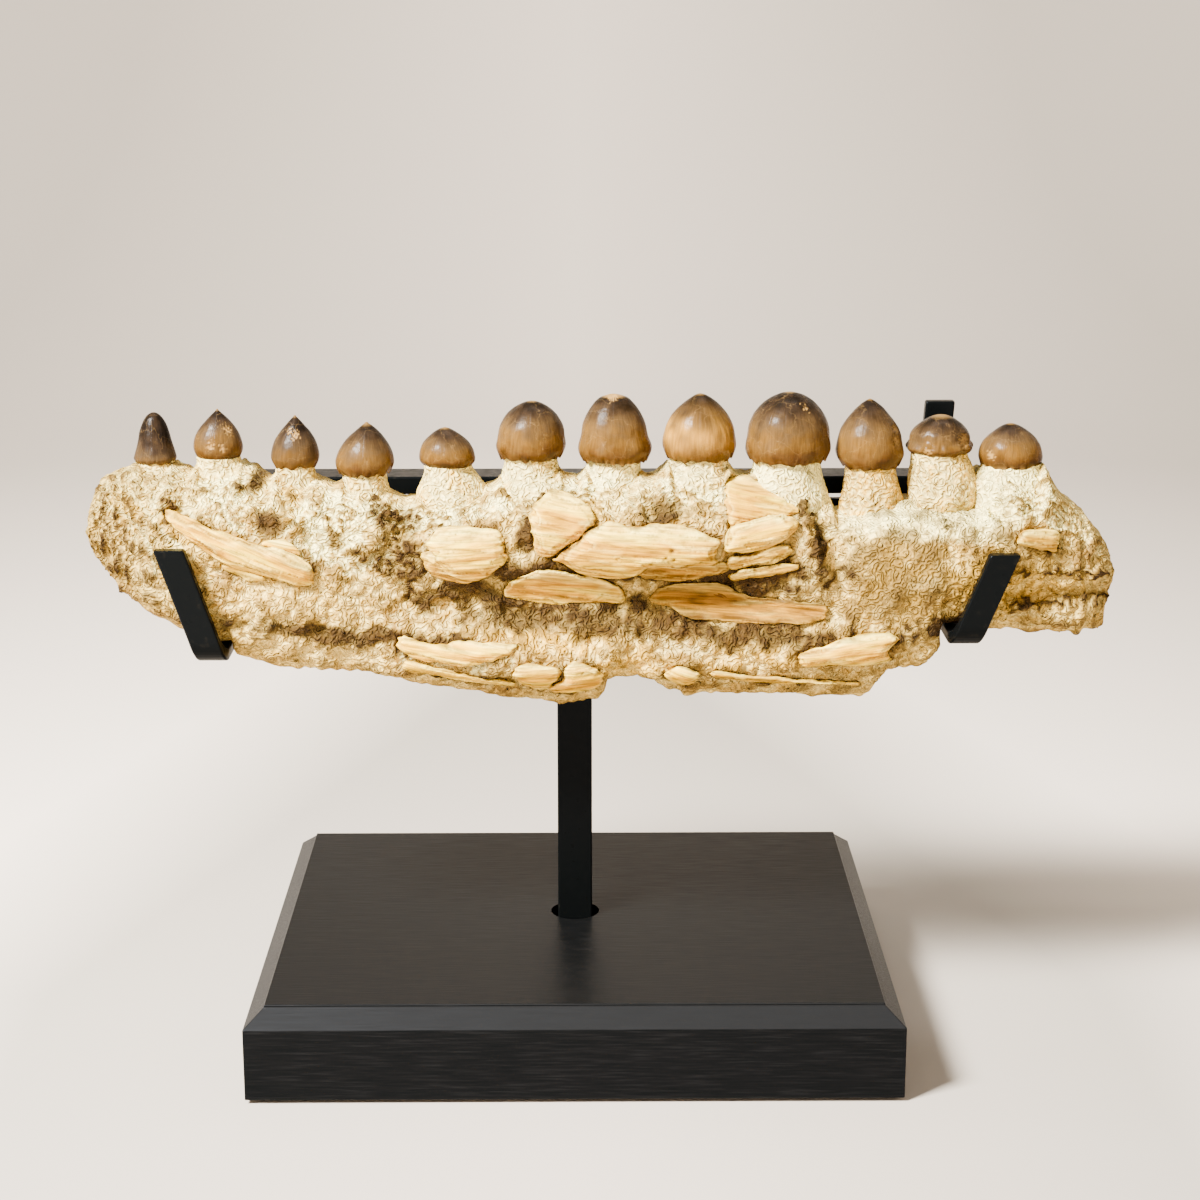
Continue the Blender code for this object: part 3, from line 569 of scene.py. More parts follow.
TEETH = (
    Tooth(-144.0, 212.2, 229.3, 14.6, 13.2, 12.8, 0.0, 0.4, 0.0, 1.25, 0.95),
    Tooth(-122.3, 213.4, 230.5, 16.8, 13.8, 15.4, 0.6, 1.2, 0.2, 1.9, 1.08),
    Tooth(-95.9, 210.6, 228.2, 16.6, 13.6, 13.8, 0.3, 0.0, 0.3, 1.9, 1.05),
    Tooth(-72.1, 208.2, 225.8, 20.2, 17.2, 15.4, 0.2, 0.0, 1.0, 1.8, 0.98),
    Tooth(-43.4, 210.4, 224.0, 19.6, 15.0, 17.4, 3.0, 2.2, -0.8, 1.9, 0.82),
    Tooth(-14.9, 213.6, 233.1, 23.9, 20.6, 19.4, 0.2, 0.0, 0.6, 2.2, 0.60),
    Tooth(14.2, 212.6, 236.0, 24.8, 21.6, 18.6, 0.0, -2.0, -0.6, 1.5, 0.50),
    Tooth(43.3, 213.5, 235.6, 25.0, 22.2, 20.6, 0.4, -1.0, 0.1, 2.0, 0.74),
    Tooth(73.8, 212.8, 236.1, 29.0, 26.4, 24.0, 0.0, 0.2, 0.3, 2.2, 0.56),
    Tooth(102.3, 210.4, 233.7, 23.4, 19.6, 18.4, 0.2, 0.8, -0.6, 1.8, 0.78),
    Tooth(126.1, 214.6, 228.1, 22.4, 18.2, 20.2, 1.2, 1.6, 0.3, 2.0, 0.66),
    Tooth(151.0, 210.8, 225.1, 22.1, 20.8, 21.2, 0.6, 0.4, -0.6, 1.9, 0.70),
)


def crest_z(x):
    return np.interp(x, CREST[:, 0], CREST[:, 1])


def belly_z(x):
    return np.interp(x, BELLY[:, 0], BELLY[:, 1])


def end_taper(x):
    near = np.clip(np.minimum((x - CREST[0, 0]) / FRONT_TAPER, (CREST[-1, 0] - x) / HIND_TAPER), 0, 1)
    return END_THICKNESS + (1 - END_THICKNESS) * np.sin(near * math.pi / 2)


def hill(x, z, swell):
    return swell.rise * np.exp(-((x - swell.x) / swell.half_length) ** 2
                               - ((z - swell.z) / swell.half_height) ** 2)


def face_relief(x, z):
    """How far the large forms stand out of the face's plane."""
    relief = sum(hill(x, z, swell) for swell in SWELLS)
    for tooth in TEETH:
        relief = relief + hill(x, z, Swell(tooth.x, 198, tooth.root * 0.42, 12, 2.6))
    return relief


def height_share(x, z):
    """0 at the belly and 1 at the crest. Away from the belly its sudden steps are evened out."""
    share = np.clip((z - belly_z(x)) / (crest_z(x) - belly_z(x)), 0, 1)
    even_belly = np.mean([belly_z(x + shift) for shift in np.linspace(-9, 9, 13)], axis=0)
    even_share = np.clip((z - even_belly) / (crest_z(x) - even_belly), 0, 1)
    return share + (even_share - share) * smooth_step(share, 0.1, 0.4)


def edge_share(share, rounding):
    return np.maximum(1 - np.abs(2 * share - 1) ** rounding, 0) ** (1 / rounding)


def on_ledge(x):
    return smooth_step(x, LEDGE[0], LEDGE[1]) * (1 - smooth_step(x, LEDGE[2], LEDGE[3]))


def shelf_z(x):
    """Height of the shelf's front edge, under the tenth and eleventh teeth."""
    return 196.2 - 0.035 * (x - 90)


def face_y(x, z):
    """Depth of the rock's face, without its fine relief."""
    share = height_share(x, z)
    seam = BELLY_LINE + share * (TOOTH_LINE - BELLY_LINE)
    upper = SHOULDER_ROUNDING + (LEDGE_ROUNDING - SHOULDER_ROUNDING) * on_ledge(x)
    rounding = np.where(share > 0.5, upper, FACE_ROUNDING)
    out = (seam - FACE_PLANE) * end_taper(x) + face_relief(x, z)
    y = seam - edge_share(share, rounding) * out
    behind_shelf = np.interp(z - shelf_z(x), (-3.0, -1.2, -0.3, 0.4, 1.6, 4.0), (-70, -58, -55, -48, -40, -36))
    cut = smooth_step(x, 83, 89) * (1 - smooth_step(x, 140, 151)) * smooth_step(z - shelf_z(x), -3.0, -2.0)
    return y + (np.maximum(y, behind_shelf) - y) * cut


print("face depth at the middle:", float(face_y(0.0, 170.0)))

# %% [markdown]
# Flakes of the jaw's outer wall lie on the face. Each is drawn by the corners of its outline,
# then given a direction for its fibres, a rise above the rock, a bow across it (negative for a
# dish), a number of broken layers at its edge, and a share of ochre in its colour.

# %% The flakes of bone
Flake = namedtuple("Flake", "slope rise bow layers ochre corners")
FLAKES = {
    "front_spar": Flake(-24, 2.2, 0.9, 3, 0.1, (
        (-139.0, 199.2), (-135.6, 199.8), (-130.4, 197.1), (-124.8, 194.7), (-118.1, 192.2),
        (-111.8, 190.1), (-105.5, 187.7), (-99.5, 186.7), (-94.5, 184.9), (-91.9, 182.5),
        (-89.2, 180.1), (-88.3, 176.9), (-88.7, 173.8), (-91.5, 172.7), (-99.9, 175.5), (-105.5, 177.7),
        (-112.2, 179.4), (-118.2, 181.9), (-123.1, 185.0), (-128.0, 188.8), (-132.6, 192.3),
        (-137.2, 195.7),
    )),
    "front_spar_under": Flake(-14, 0.9, 0.2, 2, 0.45, (
        (-118.9, 182.2), (-119.0, 179.1), (-113.3, 176.6), (-109.3, 175.2), (-103.6, 175.9),
        (-109.5, 179.1), (-114.2, 181.1),
    )),
    "front_vein": Flake(-12, 0.9, 0.3, 1, 0.0, (
        (-106.2, 187.7), (-103.8, 189.4), (-97.7, 190.1), (-94.4, 187.7), (-91.5, 183.9),
        (-96.8, 185.6), (-102.2, 186.7),
    )),
    "middle": Flake(4, 2.5, 0.9, 3, 0.22, (
        (-51.6, 186.9), (-46.1, 192.1), (-39.0, 193.5), (-30.9, 192.8), (-24.9, 191.7), (-23.9, 188.2),
        (-22.9, 185.1), (-21.9, 182.3), (-25.4, 179.2), (-29.4, 176.1), (-34.2, 174.4), (-39.3, 175.4),
        (-43.6, 177.5), (-45.6, 180.0), (-47.9, 183.8),
    )),
    "middle_under": Flake(-8, 1.2, 0.2, 3, 0.45, (
        (-52.3, 184.1), (-51.7, 179.3), (-49.4, 176.1), (-44.4, 174.4), (-39.3, 173.3), (-33.5, 173.3),
        (-29.1, 175.4), (-35.2, 179.2), (-43.6, 182.0), (-47.9, 184.8),
    )),
    "wall_front": Flake(-8, 3.2, 1.0, 3, 0.2, (
        (-14.7, 199.3), (-10.3, 202.4), (-8.0, 204.7), (-1.6, 203.4), (3.5, 201.0), (6.5, 197.8),
        (7.8, 195.1), (4.4, 193.4), (0.7, 189.2), (-4.3, 186.5), (-8.4, 183.4), (-11.8, 184.4),
        (-13.4, 188.2), (-14.8, 194.8),
    )),
    "wall_long": Flake(-4, 3.4, 1.8, 3, 0.15, (
        (-8.1, 182.7), (-4.0, 185.8), (1.1, 188.5), (4.8, 192.7), (8.5, 194.7), (12.2, 195.8),
        (18.9, 194.0), (27.4, 194.7), (35.8, 194.7), (40.5, 193.3), (44.3, 191.6), (49.7, 189.8),
        (49.0, 187.7), (47.7, 184.6), (48.8, 181.5), (43.0, 180.8), (35.9, 180.1), (26.1, 180.5),
        (22.7, 178.4), (20.4, 176.7), (16.0, 175.6), (8.2, 176.4), (2.1, 178.1), (-3.3, 181.3),
    )),
    "wall_under": Flake(-3, 1.2, 0.0, 4, 0.8, (
        (21.4, 180.5), (29.1, 181.2), (42.7, 181.5), (52.2, 181.8), (53.2, 178.7), (49.5, 176.3),
        (42.7, 175.2), (36.0, 173.5), (29.2, 174.2), (22.4, 175.6),
    )),
    "hind_block": Flake(10, 3.2, 1.2, 3, 0.1, (
        (52.0, 192.9), (56.4, 194.6), (62.4, 196.0), (70.2, 197.4), (74.2, 196.3), (76.6, 195.3),
        (75.3, 192.5), (71.3, 189.4), (67.3, 187.0), (59.6, 185.3), (53.5, 185.0), (50.4, 185.3),
        (52.1, 189.1),
    )),
    "hind_stack_a": Flake(12, 2.2, 0.0, 4, 0.65, (
        (51.8, 183.2), (59.6, 184.9), (67.3, 187.0), (72.0, 187.7), (75.1, 185.3), (71.8, 182.1),
        (61.3, 180.4), (54.2, 178.4), (52.2, 179.1),
    )),
    "hind_stack_b": Flake(10, 1.9, 0.0, 4, 0.6, (
        (52.6, 177.3), (61.3, 179.4), (69.8, 181.5), (76.6, 180.7), (76.6, 178.3), (68.5, 176.6),
        (60.0, 175.2), (52.9, 173.8),
    )),
    "hind_upper": Flake(-10, 2.2, 0.8, 2, 0.12, (
        (51.2, 205.3), (53.2, 208.1), (59.2, 208.0), (64.6, 205.6), (71.1, 203.2), (74.1, 200.1),
        (77.6, 197.7), (70.2, 196.7), (62.4, 195.7), (56.4, 194.3), (52.3, 192.9),
    )),
    "hollow_front": Flake(-6, 1.5, -0.5, 3, 0.28, (
        (-24.4, 170.1), (-21.3, 174.7), (-15.6, 177.8), (-8.1, 179.5), (0.4, 177.4), (8.8, 175.0),
        (14.9, 172.9), (17.7, 169.0), (17.3, 164.8), (9.9, 164.8), (1.4, 165.2), (-7.5, 164.5),
        (-17.3, 166.3), (-23.1, 167.7),
    )),
    "hollow_hind": Flake(-3, 1.2, -0.8, 2, 0.9, (
        (25.8, 166.9), (29.2, 171.1), (33.6, 172.8), (40.7, 173.5), (49.2, 174.2), (53.0, 172.4),
        (54.4, 170.0), (62.9, 167.8), (74.8, 166.8), (86.4, 166.4), (86.8, 161.8), (81.1, 160.1),
        (75.0, 159.4), (63.0, 159.0), (53.8, 159.4), (44.6, 160.1), (38.5, 160.9), (33.7, 163.0),
        (29.2, 164.8),
    )),
    "low_front": Flake(-8, 1.7, 0.8, 2, 0.05, (
        (-60.3, 155.8), (-54.6, 154.0), (-43.4, 152.2), (-40.3, 154.0), (-33.5, 153.3), (-18.5, 153.2),
        (-20.9, 150.8), (-25.7, 148.3), (-33.6, 145.5), (-41.1, 145.5), (-49.9, 146.9), (-58.1, 149.4),
        (-61.8, 152.3),
    )),
    "low_strip": Flake(-13, 1.6, 0.5, 2, 0.2, (
        (-58.5, 147.7), (-49.3, 145.5), (-39.8, 142.3), (-27.1, 139.8), (-21.7, 139.0), (-18.9, 137.2),
        (-27.2, 137.6), (-39.8, 139.8), (-52.4, 141.6), (-58.9, 143.4),
    )),
    "low_plate_a": Flake(2, 2.0, 0.8, 2, 0.1, (
        (-21.0, 140.8), (-20.2, 145.4), (-14.4, 146.8), (-8.3, 145.4), (-4.2, 144.7), (-4.2, 140.4),
        (-7.6, 137.9), (-10.0, 135.8), (-15.9, 136.9),
    )),
    "low_plate_b": Flake(4, 2.2, 0.8, 2, 0.08, (
        (-3.2, 140.4), (-3.5, 144.3), (-0.4, 147.9), (3.0, 146.5), (6.8, 144.7), (9.9, 142.2),
        (10.2, 139.0), (8.1, 136.5), (2.0, 134.3), (-6.3, 134.4), (-9.3, 136.2), (-6.9, 137.9),
    )),
    "low_hind": Flake(8, 2.4, 0.8, 3, 0.04, (
        (76.9, 150.2), (82.3, 151.6), (87.4, 153.0), (92.5, 155.1), (98.6, 156.5), (106.4, 157.2),
        (111.3, 155.0), (109.6, 152.6), (107.3, 150.8), (107.7, 148.7), (109.1, 146.9), (100.2, 145.9),
        (91.0, 145.9), (78.3, 145.5), (76.2, 147.7),
    )),
    "belly_hind": Flake(-4, 1.5, 0.4, 3, 0.35, (
        (46.2, 142.1), (49.6, 143.1), (57.1, 141.3), (68.1, 140.6), (81.5, 139.8), (97.3, 138.7),
        (98.8, 136.6), (81.6, 137.7), (66.8, 137.7), (55.1, 138.8), (47.6, 139.9),
    )),
    "belly_mid": Flake(-20, 1.6, 0.8, 2, 0.1, (
        (30.1, 141.4), (36.2, 145.3), (41.7, 143.2), (43.8, 141.7), (41.7, 138.5), (38.7, 136.4),
        (33.9, 138.2),
    )),
    "end_block": Flake(-6, 2.8, 0.6, 4, 0.3, (
        (148.8, 188.6), (150.0, 192.0), (153.0, 193.4), (159.1, 193.1), (164.3, 191.7), (164.1, 186.8),
        (163.6, 184.4), (157.7, 186.1), (153.3, 187.2),
    )),
    "wall_chip": Flake(80, 1.2, 0.2, 1, 0.5, (
        (51.3, 192.2), (54.4, 193.6), (53.8, 186.7), (50.8, 185.3),
    )),
}
print("flakes of bone:", len(FLAKES))

# %% [markdown]
# Two measuring tools are needed for an outline: which points are inside it, and how far a point
# is from a line. Both work on all the points at once, which is much quicker than a loop.

# %% Outline tools


def is_inside(x, z, outline):
    inside = np.zeros(np.shape(x), bool)
    for (x0, z0), (x1, z1) in zip(outline, np.roll(outline, -1, axis=0)):
        crosses = (z0 > z) != (z1 > z)
        inside ^= crosses & (x < (x1 - x0) * (z - z0) / (z1 - z0 + 1e-12) + x0)
    return inside


def distance_to(x, z, line, closed=False):
    """Distance in millimetres from points to a line of corners."""
    line = np.asarray(line, float)
    ends = np.roll(line, -1, axis=0) if closed else line[1:]
    starts = line if closed else line[:-1]
    nearest = np.full(np.shape(x), 1e9)
    for (x0, z0), (x1, z1) in zip(starts, ends):
        length = (x1 - x0) ** 2 + (z1 - z0) ** 2 + 1e-12
        share = np.clip(((x - x0) * (x1 - x0) + (z - z0) * (z1 - z0)) / length, 0, 1)
        away = np.hypot(x - x0 - share * (x1 - x0), z - z0 - share * (z1 - z0))
        nearest = np.minimum(nearest, away)
    return nearest


def walk_round(corners, spacing):
    """Points at even steps round a closed outline, with its corners eased."""
    outline = np.asarray(corners, float)
    for _ in range(2):
        after = np.roll(outline, -1, axis=0)
        outline = np.stack((outline * 0.78 + after * 0.22, outline * 0.22 + after * 0.78), 1).reshape(-1, 2)
    closed = np.vstack((outline, outline[:1]))
    travelled = np.concatenate(([0], np.cumsum(np.hypot(*np.diff(closed, axis=0).T))))
    steps = int(travelled[-1] / spacing)
    at = np.linspace(0, travelled[-1], steps, endpoint=False)
    return np.stack([np.interp(at, travelled, closed[:, i]) for i in (0, 1)], axis=1), at


print("a 10 mm square has", len(walk_round(((0, 0), (10, 0), (10, 10), (0, 10)), 0.5)[0]), "steps")

# %% [markdown]
# A flake's top could be a displaced plane cut to shape, but its edge would be jagged in steps.
# Here the ragged outline comes first and a Delaunay mesh fills it with points, so the edge stays
# crisp. The top follows a smooth sheet fitted to the rock under it. Its edge breaks away in
# terraces, and its sides go down in uneven layers that pull in under it, so that it casts a shadow.

# %% Cut the flakes
TOP_SPACING = 0.5
LAYER_STEP = 0.5
CRACKS = (
    ((-8.1, 182.7), (-4.0, 185.8), (1.1, 188.5), (4.8, 192.7), (8.5, 194.7)),
    ((-4.4, 147.2), (-4.0, 144.5), (-4.6, 141.0), (-7.4, 138.0)),
)
PORES = ((32.9, 187.0, 0.7), (33.7, 184.0, 0.45), (25.9, 182.2, 0.5), (42.9, 182.8, 0.4), (31.0, 184.8, 0.4))


def fitted_sheet(x, z):
    """The five numbers of a smooth, slightly curved sheet through the rock's face."""
    terms = np.stack((np.ones_like(x), x, z, x * x, x * z, z * z), axis=1)
    middle = (x.mean(), z.mean())
    u, v = x - middle[0], z - middle[1]
    terms = np.stack((np.ones_like(u), u, v, u * u, u * v, v * v), axis=1)
    return middle, np.linalg.lstsq(terms, face_y(x, z), rcond=None)[0]


def sheet_y(fit, x, z):
    (middle_x, middle_z), c = fit
    u, v = x - middle_x, z - middle_z
    return c[0] + c[1] * u + c[2] * v + c[3] * u * u + c[4] * u * v + c[5] * v * v


def fibre_place(flake, seed, x, z):
    """Millimetres along and across the flake's fibres, different for each flake."""
    slope = math.radians(flake.slope)
    centre = np.mean(flake.corners, axis=0)
    u = (x - centre[0]) * math.cos(slope) + (z - centre[1]) * math.sin(slope)
    v = -(x - centre[0]) * math.sin(slope) + (z - centre[1]) * math.cos(slope)
    return u + 43.0 * seed, v


def ragged_outline(flake, seed):
    """The outline with wavy sides and splintered ends, and its outward directions."""
    outline, at = walk_round(flake.corners, TOP_SPACING)
    ahead = np.roll(outline, -1, axis=0) - np.roll(outline, 1, axis=0)
    outward = np.stack((ahead[:, 1], -ahead[:, 0]), axis=1)
    outward /= np.linalg.norm(outward, axis=1)[:, None] + 1e-9
    area = np.sum(outline[:, 0] * np.roll(outline[:, 1], -1) - np.roll(outline[:, 0], -1) * outline[:, 1])
    outward *= np.sign(area)
    slope = math.radians(flake.slope)
    fibre = np.array((math.cos(slope), math.sin(slope)))
    facing = outward @ fibre
    v = fibre_place(flake, seed, *outline.T)[1]
    splinter = 0.28 * read_sheet(STRANDS, seed * 37.0, v) + 0.16 * read_sheet(FIBRES, seed * 37.0, v)
    wave = 0.22 * read_sheet(LUMPS, at, seed * 31.0) + 0.10 * read_sheet(CRUMBS, at, seed * 17.0)
    size = min(1.0, len(outline) / 110)
    moved = outline + outward * (wave * size)[:, None]
    return moved + fibre * (facing * np.abs(facing) * splinter * size)[:, None], outward


def fill_outline(outline, seed):
    """Points inside an outline: a shaken grid, kept clear of the edge."""
    low, high = outline.min(axis=0), outline.max(axis=0)
    x, z = np.meshgrid(np.arange(low[0], high[0], TOP_SPACING), np.arange(low[1], high[1], TOP_SPACING))
    x, z = x.ravel(), z.ravel()
    shake = np.random.default_rng(seed).uniform(-0.15, 0.15, (2, len(x)))
    x, z = x + shake[0], z + shake[1]
    clear = is_inside(x, z, outline) & (distance_to(x, z, outline, closed=True) > 0.28)
    return np.stack((x[clear], z[clear]), axis=1)


def flake_top(flake, seed, x, z, edge):
    """Rise above the sheet, each point's dust and painted shade, its paleness and painted highlight, and its place on
    the fibres.
    """
    u, v = fibre_place(flake, seed, x, z)
    half = max(np.abs(v).max(), 1)
    fibres = read_sheet(FIBRES, u, v)
    strands = read_sheet(STRANDS, u, v + 20)
    sheets = read_sheet(STRANDS, u / 2.2, v / 2.2 + 60)
    lower = smooth_step(-v / half, 0.0, 0.8)
    rise = flake.rise + (1.9 if flake.bow > 0 else 1.2) * flake.bow * (1 - (v / half) ** 2) * np.clip(edge / 3.0, 0, 1)
    rise = rise + 0.06 * fibres + 0.15 * strands + 0.12 * sheets
    split = np.exp(-((strands - 0.9) / 0.10) ** 2) * smooth_step(sheets, 0.2, 0.9)
    peeled = smooth_step(sheets, 0.75, 0.85)
    rise = rise - 0.30 * split - 0.28 * peeled
    # Splits, peeled sheets and fibre grooves are painted darker, as shade in creases.
    dust_and_shade = 0.18 * smooth_step(-fibres, 0.6, 1.8) + 0.55 * split
    dust_and_shade = dust_and_shade + 0.30 * np.exp(-((sheets - 0.82) / 0.05) ** 2)
    # The upper half of each flake is painted pale as highlight, where light from above falls; pale strands are the
    # bone's own tone.
    pale = 0.4 * smooth_step(strands + 0.5 * sheets, 0.6, 2.0) + 0.5 * smooth_step(v / half, 0.2, 0.8)
    # Each broken layer is painted dark at its foot, as shade, and pale on its lip, as highlight.
    for layer in range(flake.layers - 1):
        breaks = 1 + 0.85 * read_sheet(STRANDS, u + 11 * layer, v / 2 + 33 * layer)
        reach = (0.45 + 0.8 * layer) * np.maximum(breaks, 0.15) * (1 + 1.1 * lower)
        rise -= 0.42 * (1 - smooth_step(edge, reach - 0.15, reach + 0.15))
        dust_and_shade = dust_and_shade + 0.45 * np.exp(-(((edge - reach + 0.2) / 0.25) ** 2))
        pale = pale + 0.3 * np.exp(-(((edge - reach - 0.4) / 0.35) ** 2))
    rise -= 0.22 * (1 - np.clip(edge / 0.7, 0, 1)) ** 2
    # The outer edge is painted pale, as highlight.
    pale = pale + 0.2 * np.exp(-(edge / 0.5) ** 2)
    # Cracks and pores are painted dark, as shade in them.
    for crack in CRACKS:
        gap = distance_to(x, z, crack)
        rise -= 0.9 * np.exp(-(gap / 0.35) ** 2)
        dust_and_shade = dust_and_shade + np.exp(-(gap / 0.42) ** 2)
    for pore_x, pore_z, radius in PORES:
        gap = np.hypot((x - pore_x) * 0.75, z - pore_z)
        rise -= 0.8 * np.exp(-(gap / radius) ** 2)
        dust_and_shade = dust_and_shade + 1.3 * np.exp(-(gap / radius) ** 2)
    return rise, dust_and_shade, pale, np.stack((u, v), axis=1)


def cut_flake(name, flake, seed):
    outline, outward = ragged_outline(flake, seed)
    inner = fill_outline(outline, seed)
    ring = len(outline)
    flat = [Vector(p) for p in np.vstack((outline, inner))]
    made = delaunay_2d_cdt(flat, [], [list(range(ring))], 1, 1e-5)
    top = np.array([tuple(p) for p in made[0]])
    place_of = {start: new for new, starts in enumerate(made[3]) for start in starts}
    x, z = top.T
    edge = distance_to(x, z, outline, closed=True)
    fit = fitted_sheet(*np.vstack((outline, inner)).T)
    rise, dust_and_shade, pale, along = flake_top(flake, seed, x, z, edge)
    points = [np.stack((x, sheet_y(fit, x, z) - rise, z), axis=1)]
    faces = [list(face) for face in made[2]]
    dust_and_shade, pale, along = [dust_and_shade], [pale], [along]
    rim = [place_of[i] for i in range(ring)]
    rim_points = points[0][rim]
    steps = max(3, int(math.ceil((flake.rise + 1.6) / LAYER_STEP)))
    count = len(top)
    at = np.arange(ring) * TOP_SPACING
    for step in range(1, steps + 1):
        down = step * LAYER_STEP
        ragged = read_sheet(CRUMBS, at, seed * 9.0 + step * 5.0)
        pull = 0.16 * down + 0.12 * ragged * (step % 2 * 2 - 1) + 0.12 * (step % 2)
        if step == steps:
            pull += 0.5
        moved = rim_points.copy()
        moved[:, 0] -= outward[:, 0] * pull
        moved[:, 2] -= outward[:, 1] * pull
        moved[:, 1] += down + 0.1 * ragged
        points.append(moved)
        # The side walls are painted darker downwards, as shade under the flake; every other layer gets both more shade
        # and a pale tint, so the layers stand apart in colour.
        deep = np.full(ring, 0.1 + 0.5 * step / steps) + 0.25 * (step % 2)
        dust_and_shade.append(deep)
        pale.append(np.full(ring, 0.25 if step % 2 else 0.0))
        along.append(along[0][rim] + np.array((0.0, down)))
        upper = rim if step == 1 else list(range(count - ring, count))
        lower = list(range(count, count + ring))
        count += ring
        faces += [[upper[i], upper[(i + 1) % ring], lower[(i + 1) % ring], lower[i]] for i in range(ring)]
    points.append(moved.mean(axis=0)[None, :])
    dust_and_shade.append([1.0])
    pale.append([0.0])
    along.append(along[0][:1])
    faces += [[lower[i], lower[(i + 1) % ring], count] for i in range(ring)]
    # Places that are not pale, the lower half of each flake among them, get more ochre, which paints them darker as
    # shade.
    values = {
        "dust_and_shade": np.concatenate(dust_and_shade), "chalk_and_highlight": np.concatenate(pale) * (1 - 0.8 * flake.ochre),
        "ochre": flake.ochre + 0.2 * (1 - np.clip(np.concatenate(pale) / 0.5, 0, 1)),
    }
    piece = make_piece(
        "bone_" + name, np.vstack(points), faces, bone_finish, values, np.vstack(along),
    )
    return piece, fit


flake_fits = {}
for number, (name, flake) in enumerate(FLAKES.items(), 1):
    piece, flake_fits[name] = cut_flake(name, flake, number)
    print(f"{piece.name}: {len(piece.data.polygons)} faces")

# %% [markdown]
# A tooth is a turned shape. The crown's profile is a bulb: it pinches in at the neck, swells to
# its widest a quarter of the way up and closes in a dome whose two powers make it pointed or
# round. The root under it is a peg that swells and sinks into the rock. Each is turned in many
# steps, then pushed in and out by noise so that no two sides are alike.

# %% Tooth profiles
ROOT_LENGTH = 27.0
ROOT_STEPS = ((1, 0.7, 0), (0.6, 1.22, 0), (0.36, 1.07, 1), (0.2, 1, 0.7), (0.05, 0.97, 0), (-0.03, 0.95, 0))
CROWN_WIDEST = 0.24
DEPTH_RATIO = 0.94
ROOT_SHIFT_REACH = 0.4 * ROOT_LENGTH
# How widely each root spreads in millimetres where it meets the rock
# How chalky and how golden each root is
ROOT_TONES = (
    (0.35, 0.30), (0.40, 0.10), (0.40, 0.25), (0.45, 0.25), (0.50, 0.60), (0.60, 0.60),
    (0.90, 0.10), (0.60, 0.50), (1.00, 0.05), (0.20, 1.00), (0.35, 0.50), (0.95, 0.10),
)
ROOT_FLARES = (1.2, 1.8, 1.6, 1.2, 0.6, 2.4, 1.5, 2.5, 1.3, 0.5, 0.3, 2.6)


def root_radius(tooth, z):
    """Radius of the root at a height, with its steps eased."""
    heights = [tooth.base_z - depth * ROOT_LENGTH for depth, _, _ in ROOT_STEPS]
    widths = [tooth.root / 2 * width + tooth.swell * swell for _, width, swell in ROOT_STEPS]
    eased = [np.interp(z + shift, heights, widths) for shift in (-1.2, -0.6, 0, 0.6, 1.2)]
    return np.mean(eased, axis=0)


def root_middle(tooth, z):
    sunk = np.clip((tooth.base_z - z) / ROOT_SHIFT_REACH, 0, 1)
    return tooth.x + tooth.root_shift * sunk


def crown_radius(tooth, share):
    """Radius of the crown at a share of its height; the first tooth is a straight cone."""
    if tooth is TEETH[0]:
        cone = tooth.crown / 2 * (1 - 0.62 * np.maximum(share - 0.1, 0)) * np.sqrt(1 - share ** 9)
        return np.minimum(cone, tooth.neck / 2 + 10 * share)
    neck, crown = tooth.neck / 2, tooth.crown / 2
    above = np.clip((share - CROWN_WIDEST) / (1 - CROWN_WIDEST), 0, 1)
    dome = crown * np.maximum(1 - above ** tooth.dome, 0) ** tooth.power
    below = np.clip(share / CROWN_WIDEST, 0, 1)
    bulge = neck + (crown - neck) * np.sin(below * math.pi / 2) ** 0.9
    return np.where(share > CROWN_WIDEST, dome, bulge)


print("widest crown radius:", float(crown_radius(TEETH[8], np.array(CROWN_WIDEST))))

# %% [markdown]
# The rock is one closed skin: rings of points round the block, close together, from the belly up
# the face to the crest and down the back. First the rings are set on the large forms. Then each
# point moves along its own normal by the fine relief, which reads the sheets at the distance
# walked round the ring, so the worms keep their size over edges. Where a root meets the face,
# the two depths are blended, as plaster and bone flow into each other on the real jaw.

# %% Rings of the rock
STATIONS, FACE_ROWS, BACK_ROWS = 640, 112, 32
EDGE_CROWDING = 1.35


def even_stations(count):
    """Places along x, closer together where the outline is steep."""
    x = np.linspace(CREST[0, 0] + 0.02, CREST[-1, 0] - 0.02, 6000)
    steep = np.hypot(np.gradient(crest_z(x), x), np.gradient(belly_z(x), x))
    pace = np.sqrt(1 + 0.35 * np.minimum(steep, 8) ** 2)
    travelled = np.cumsum(pace)
    return np.interp(np.linspace(travelled[0], travelled[-1], count), travelled, x)


def edge_shares(rows):
    side = np.linspace(-1, 1, rows)
    return 0.5 + 0.5 * np.sign(side) * (1 - (1 - np.abs(side)) ** EDGE_CROWDING)


def blended(a, b, reach):
    """The larger of two depths, with a soft change from one to the other."""
    nearness = np.maximum(reach - np.abs(a - b), 0) / reach
    return np.maximum(a, b) + nearness ** 2 * reach / 4


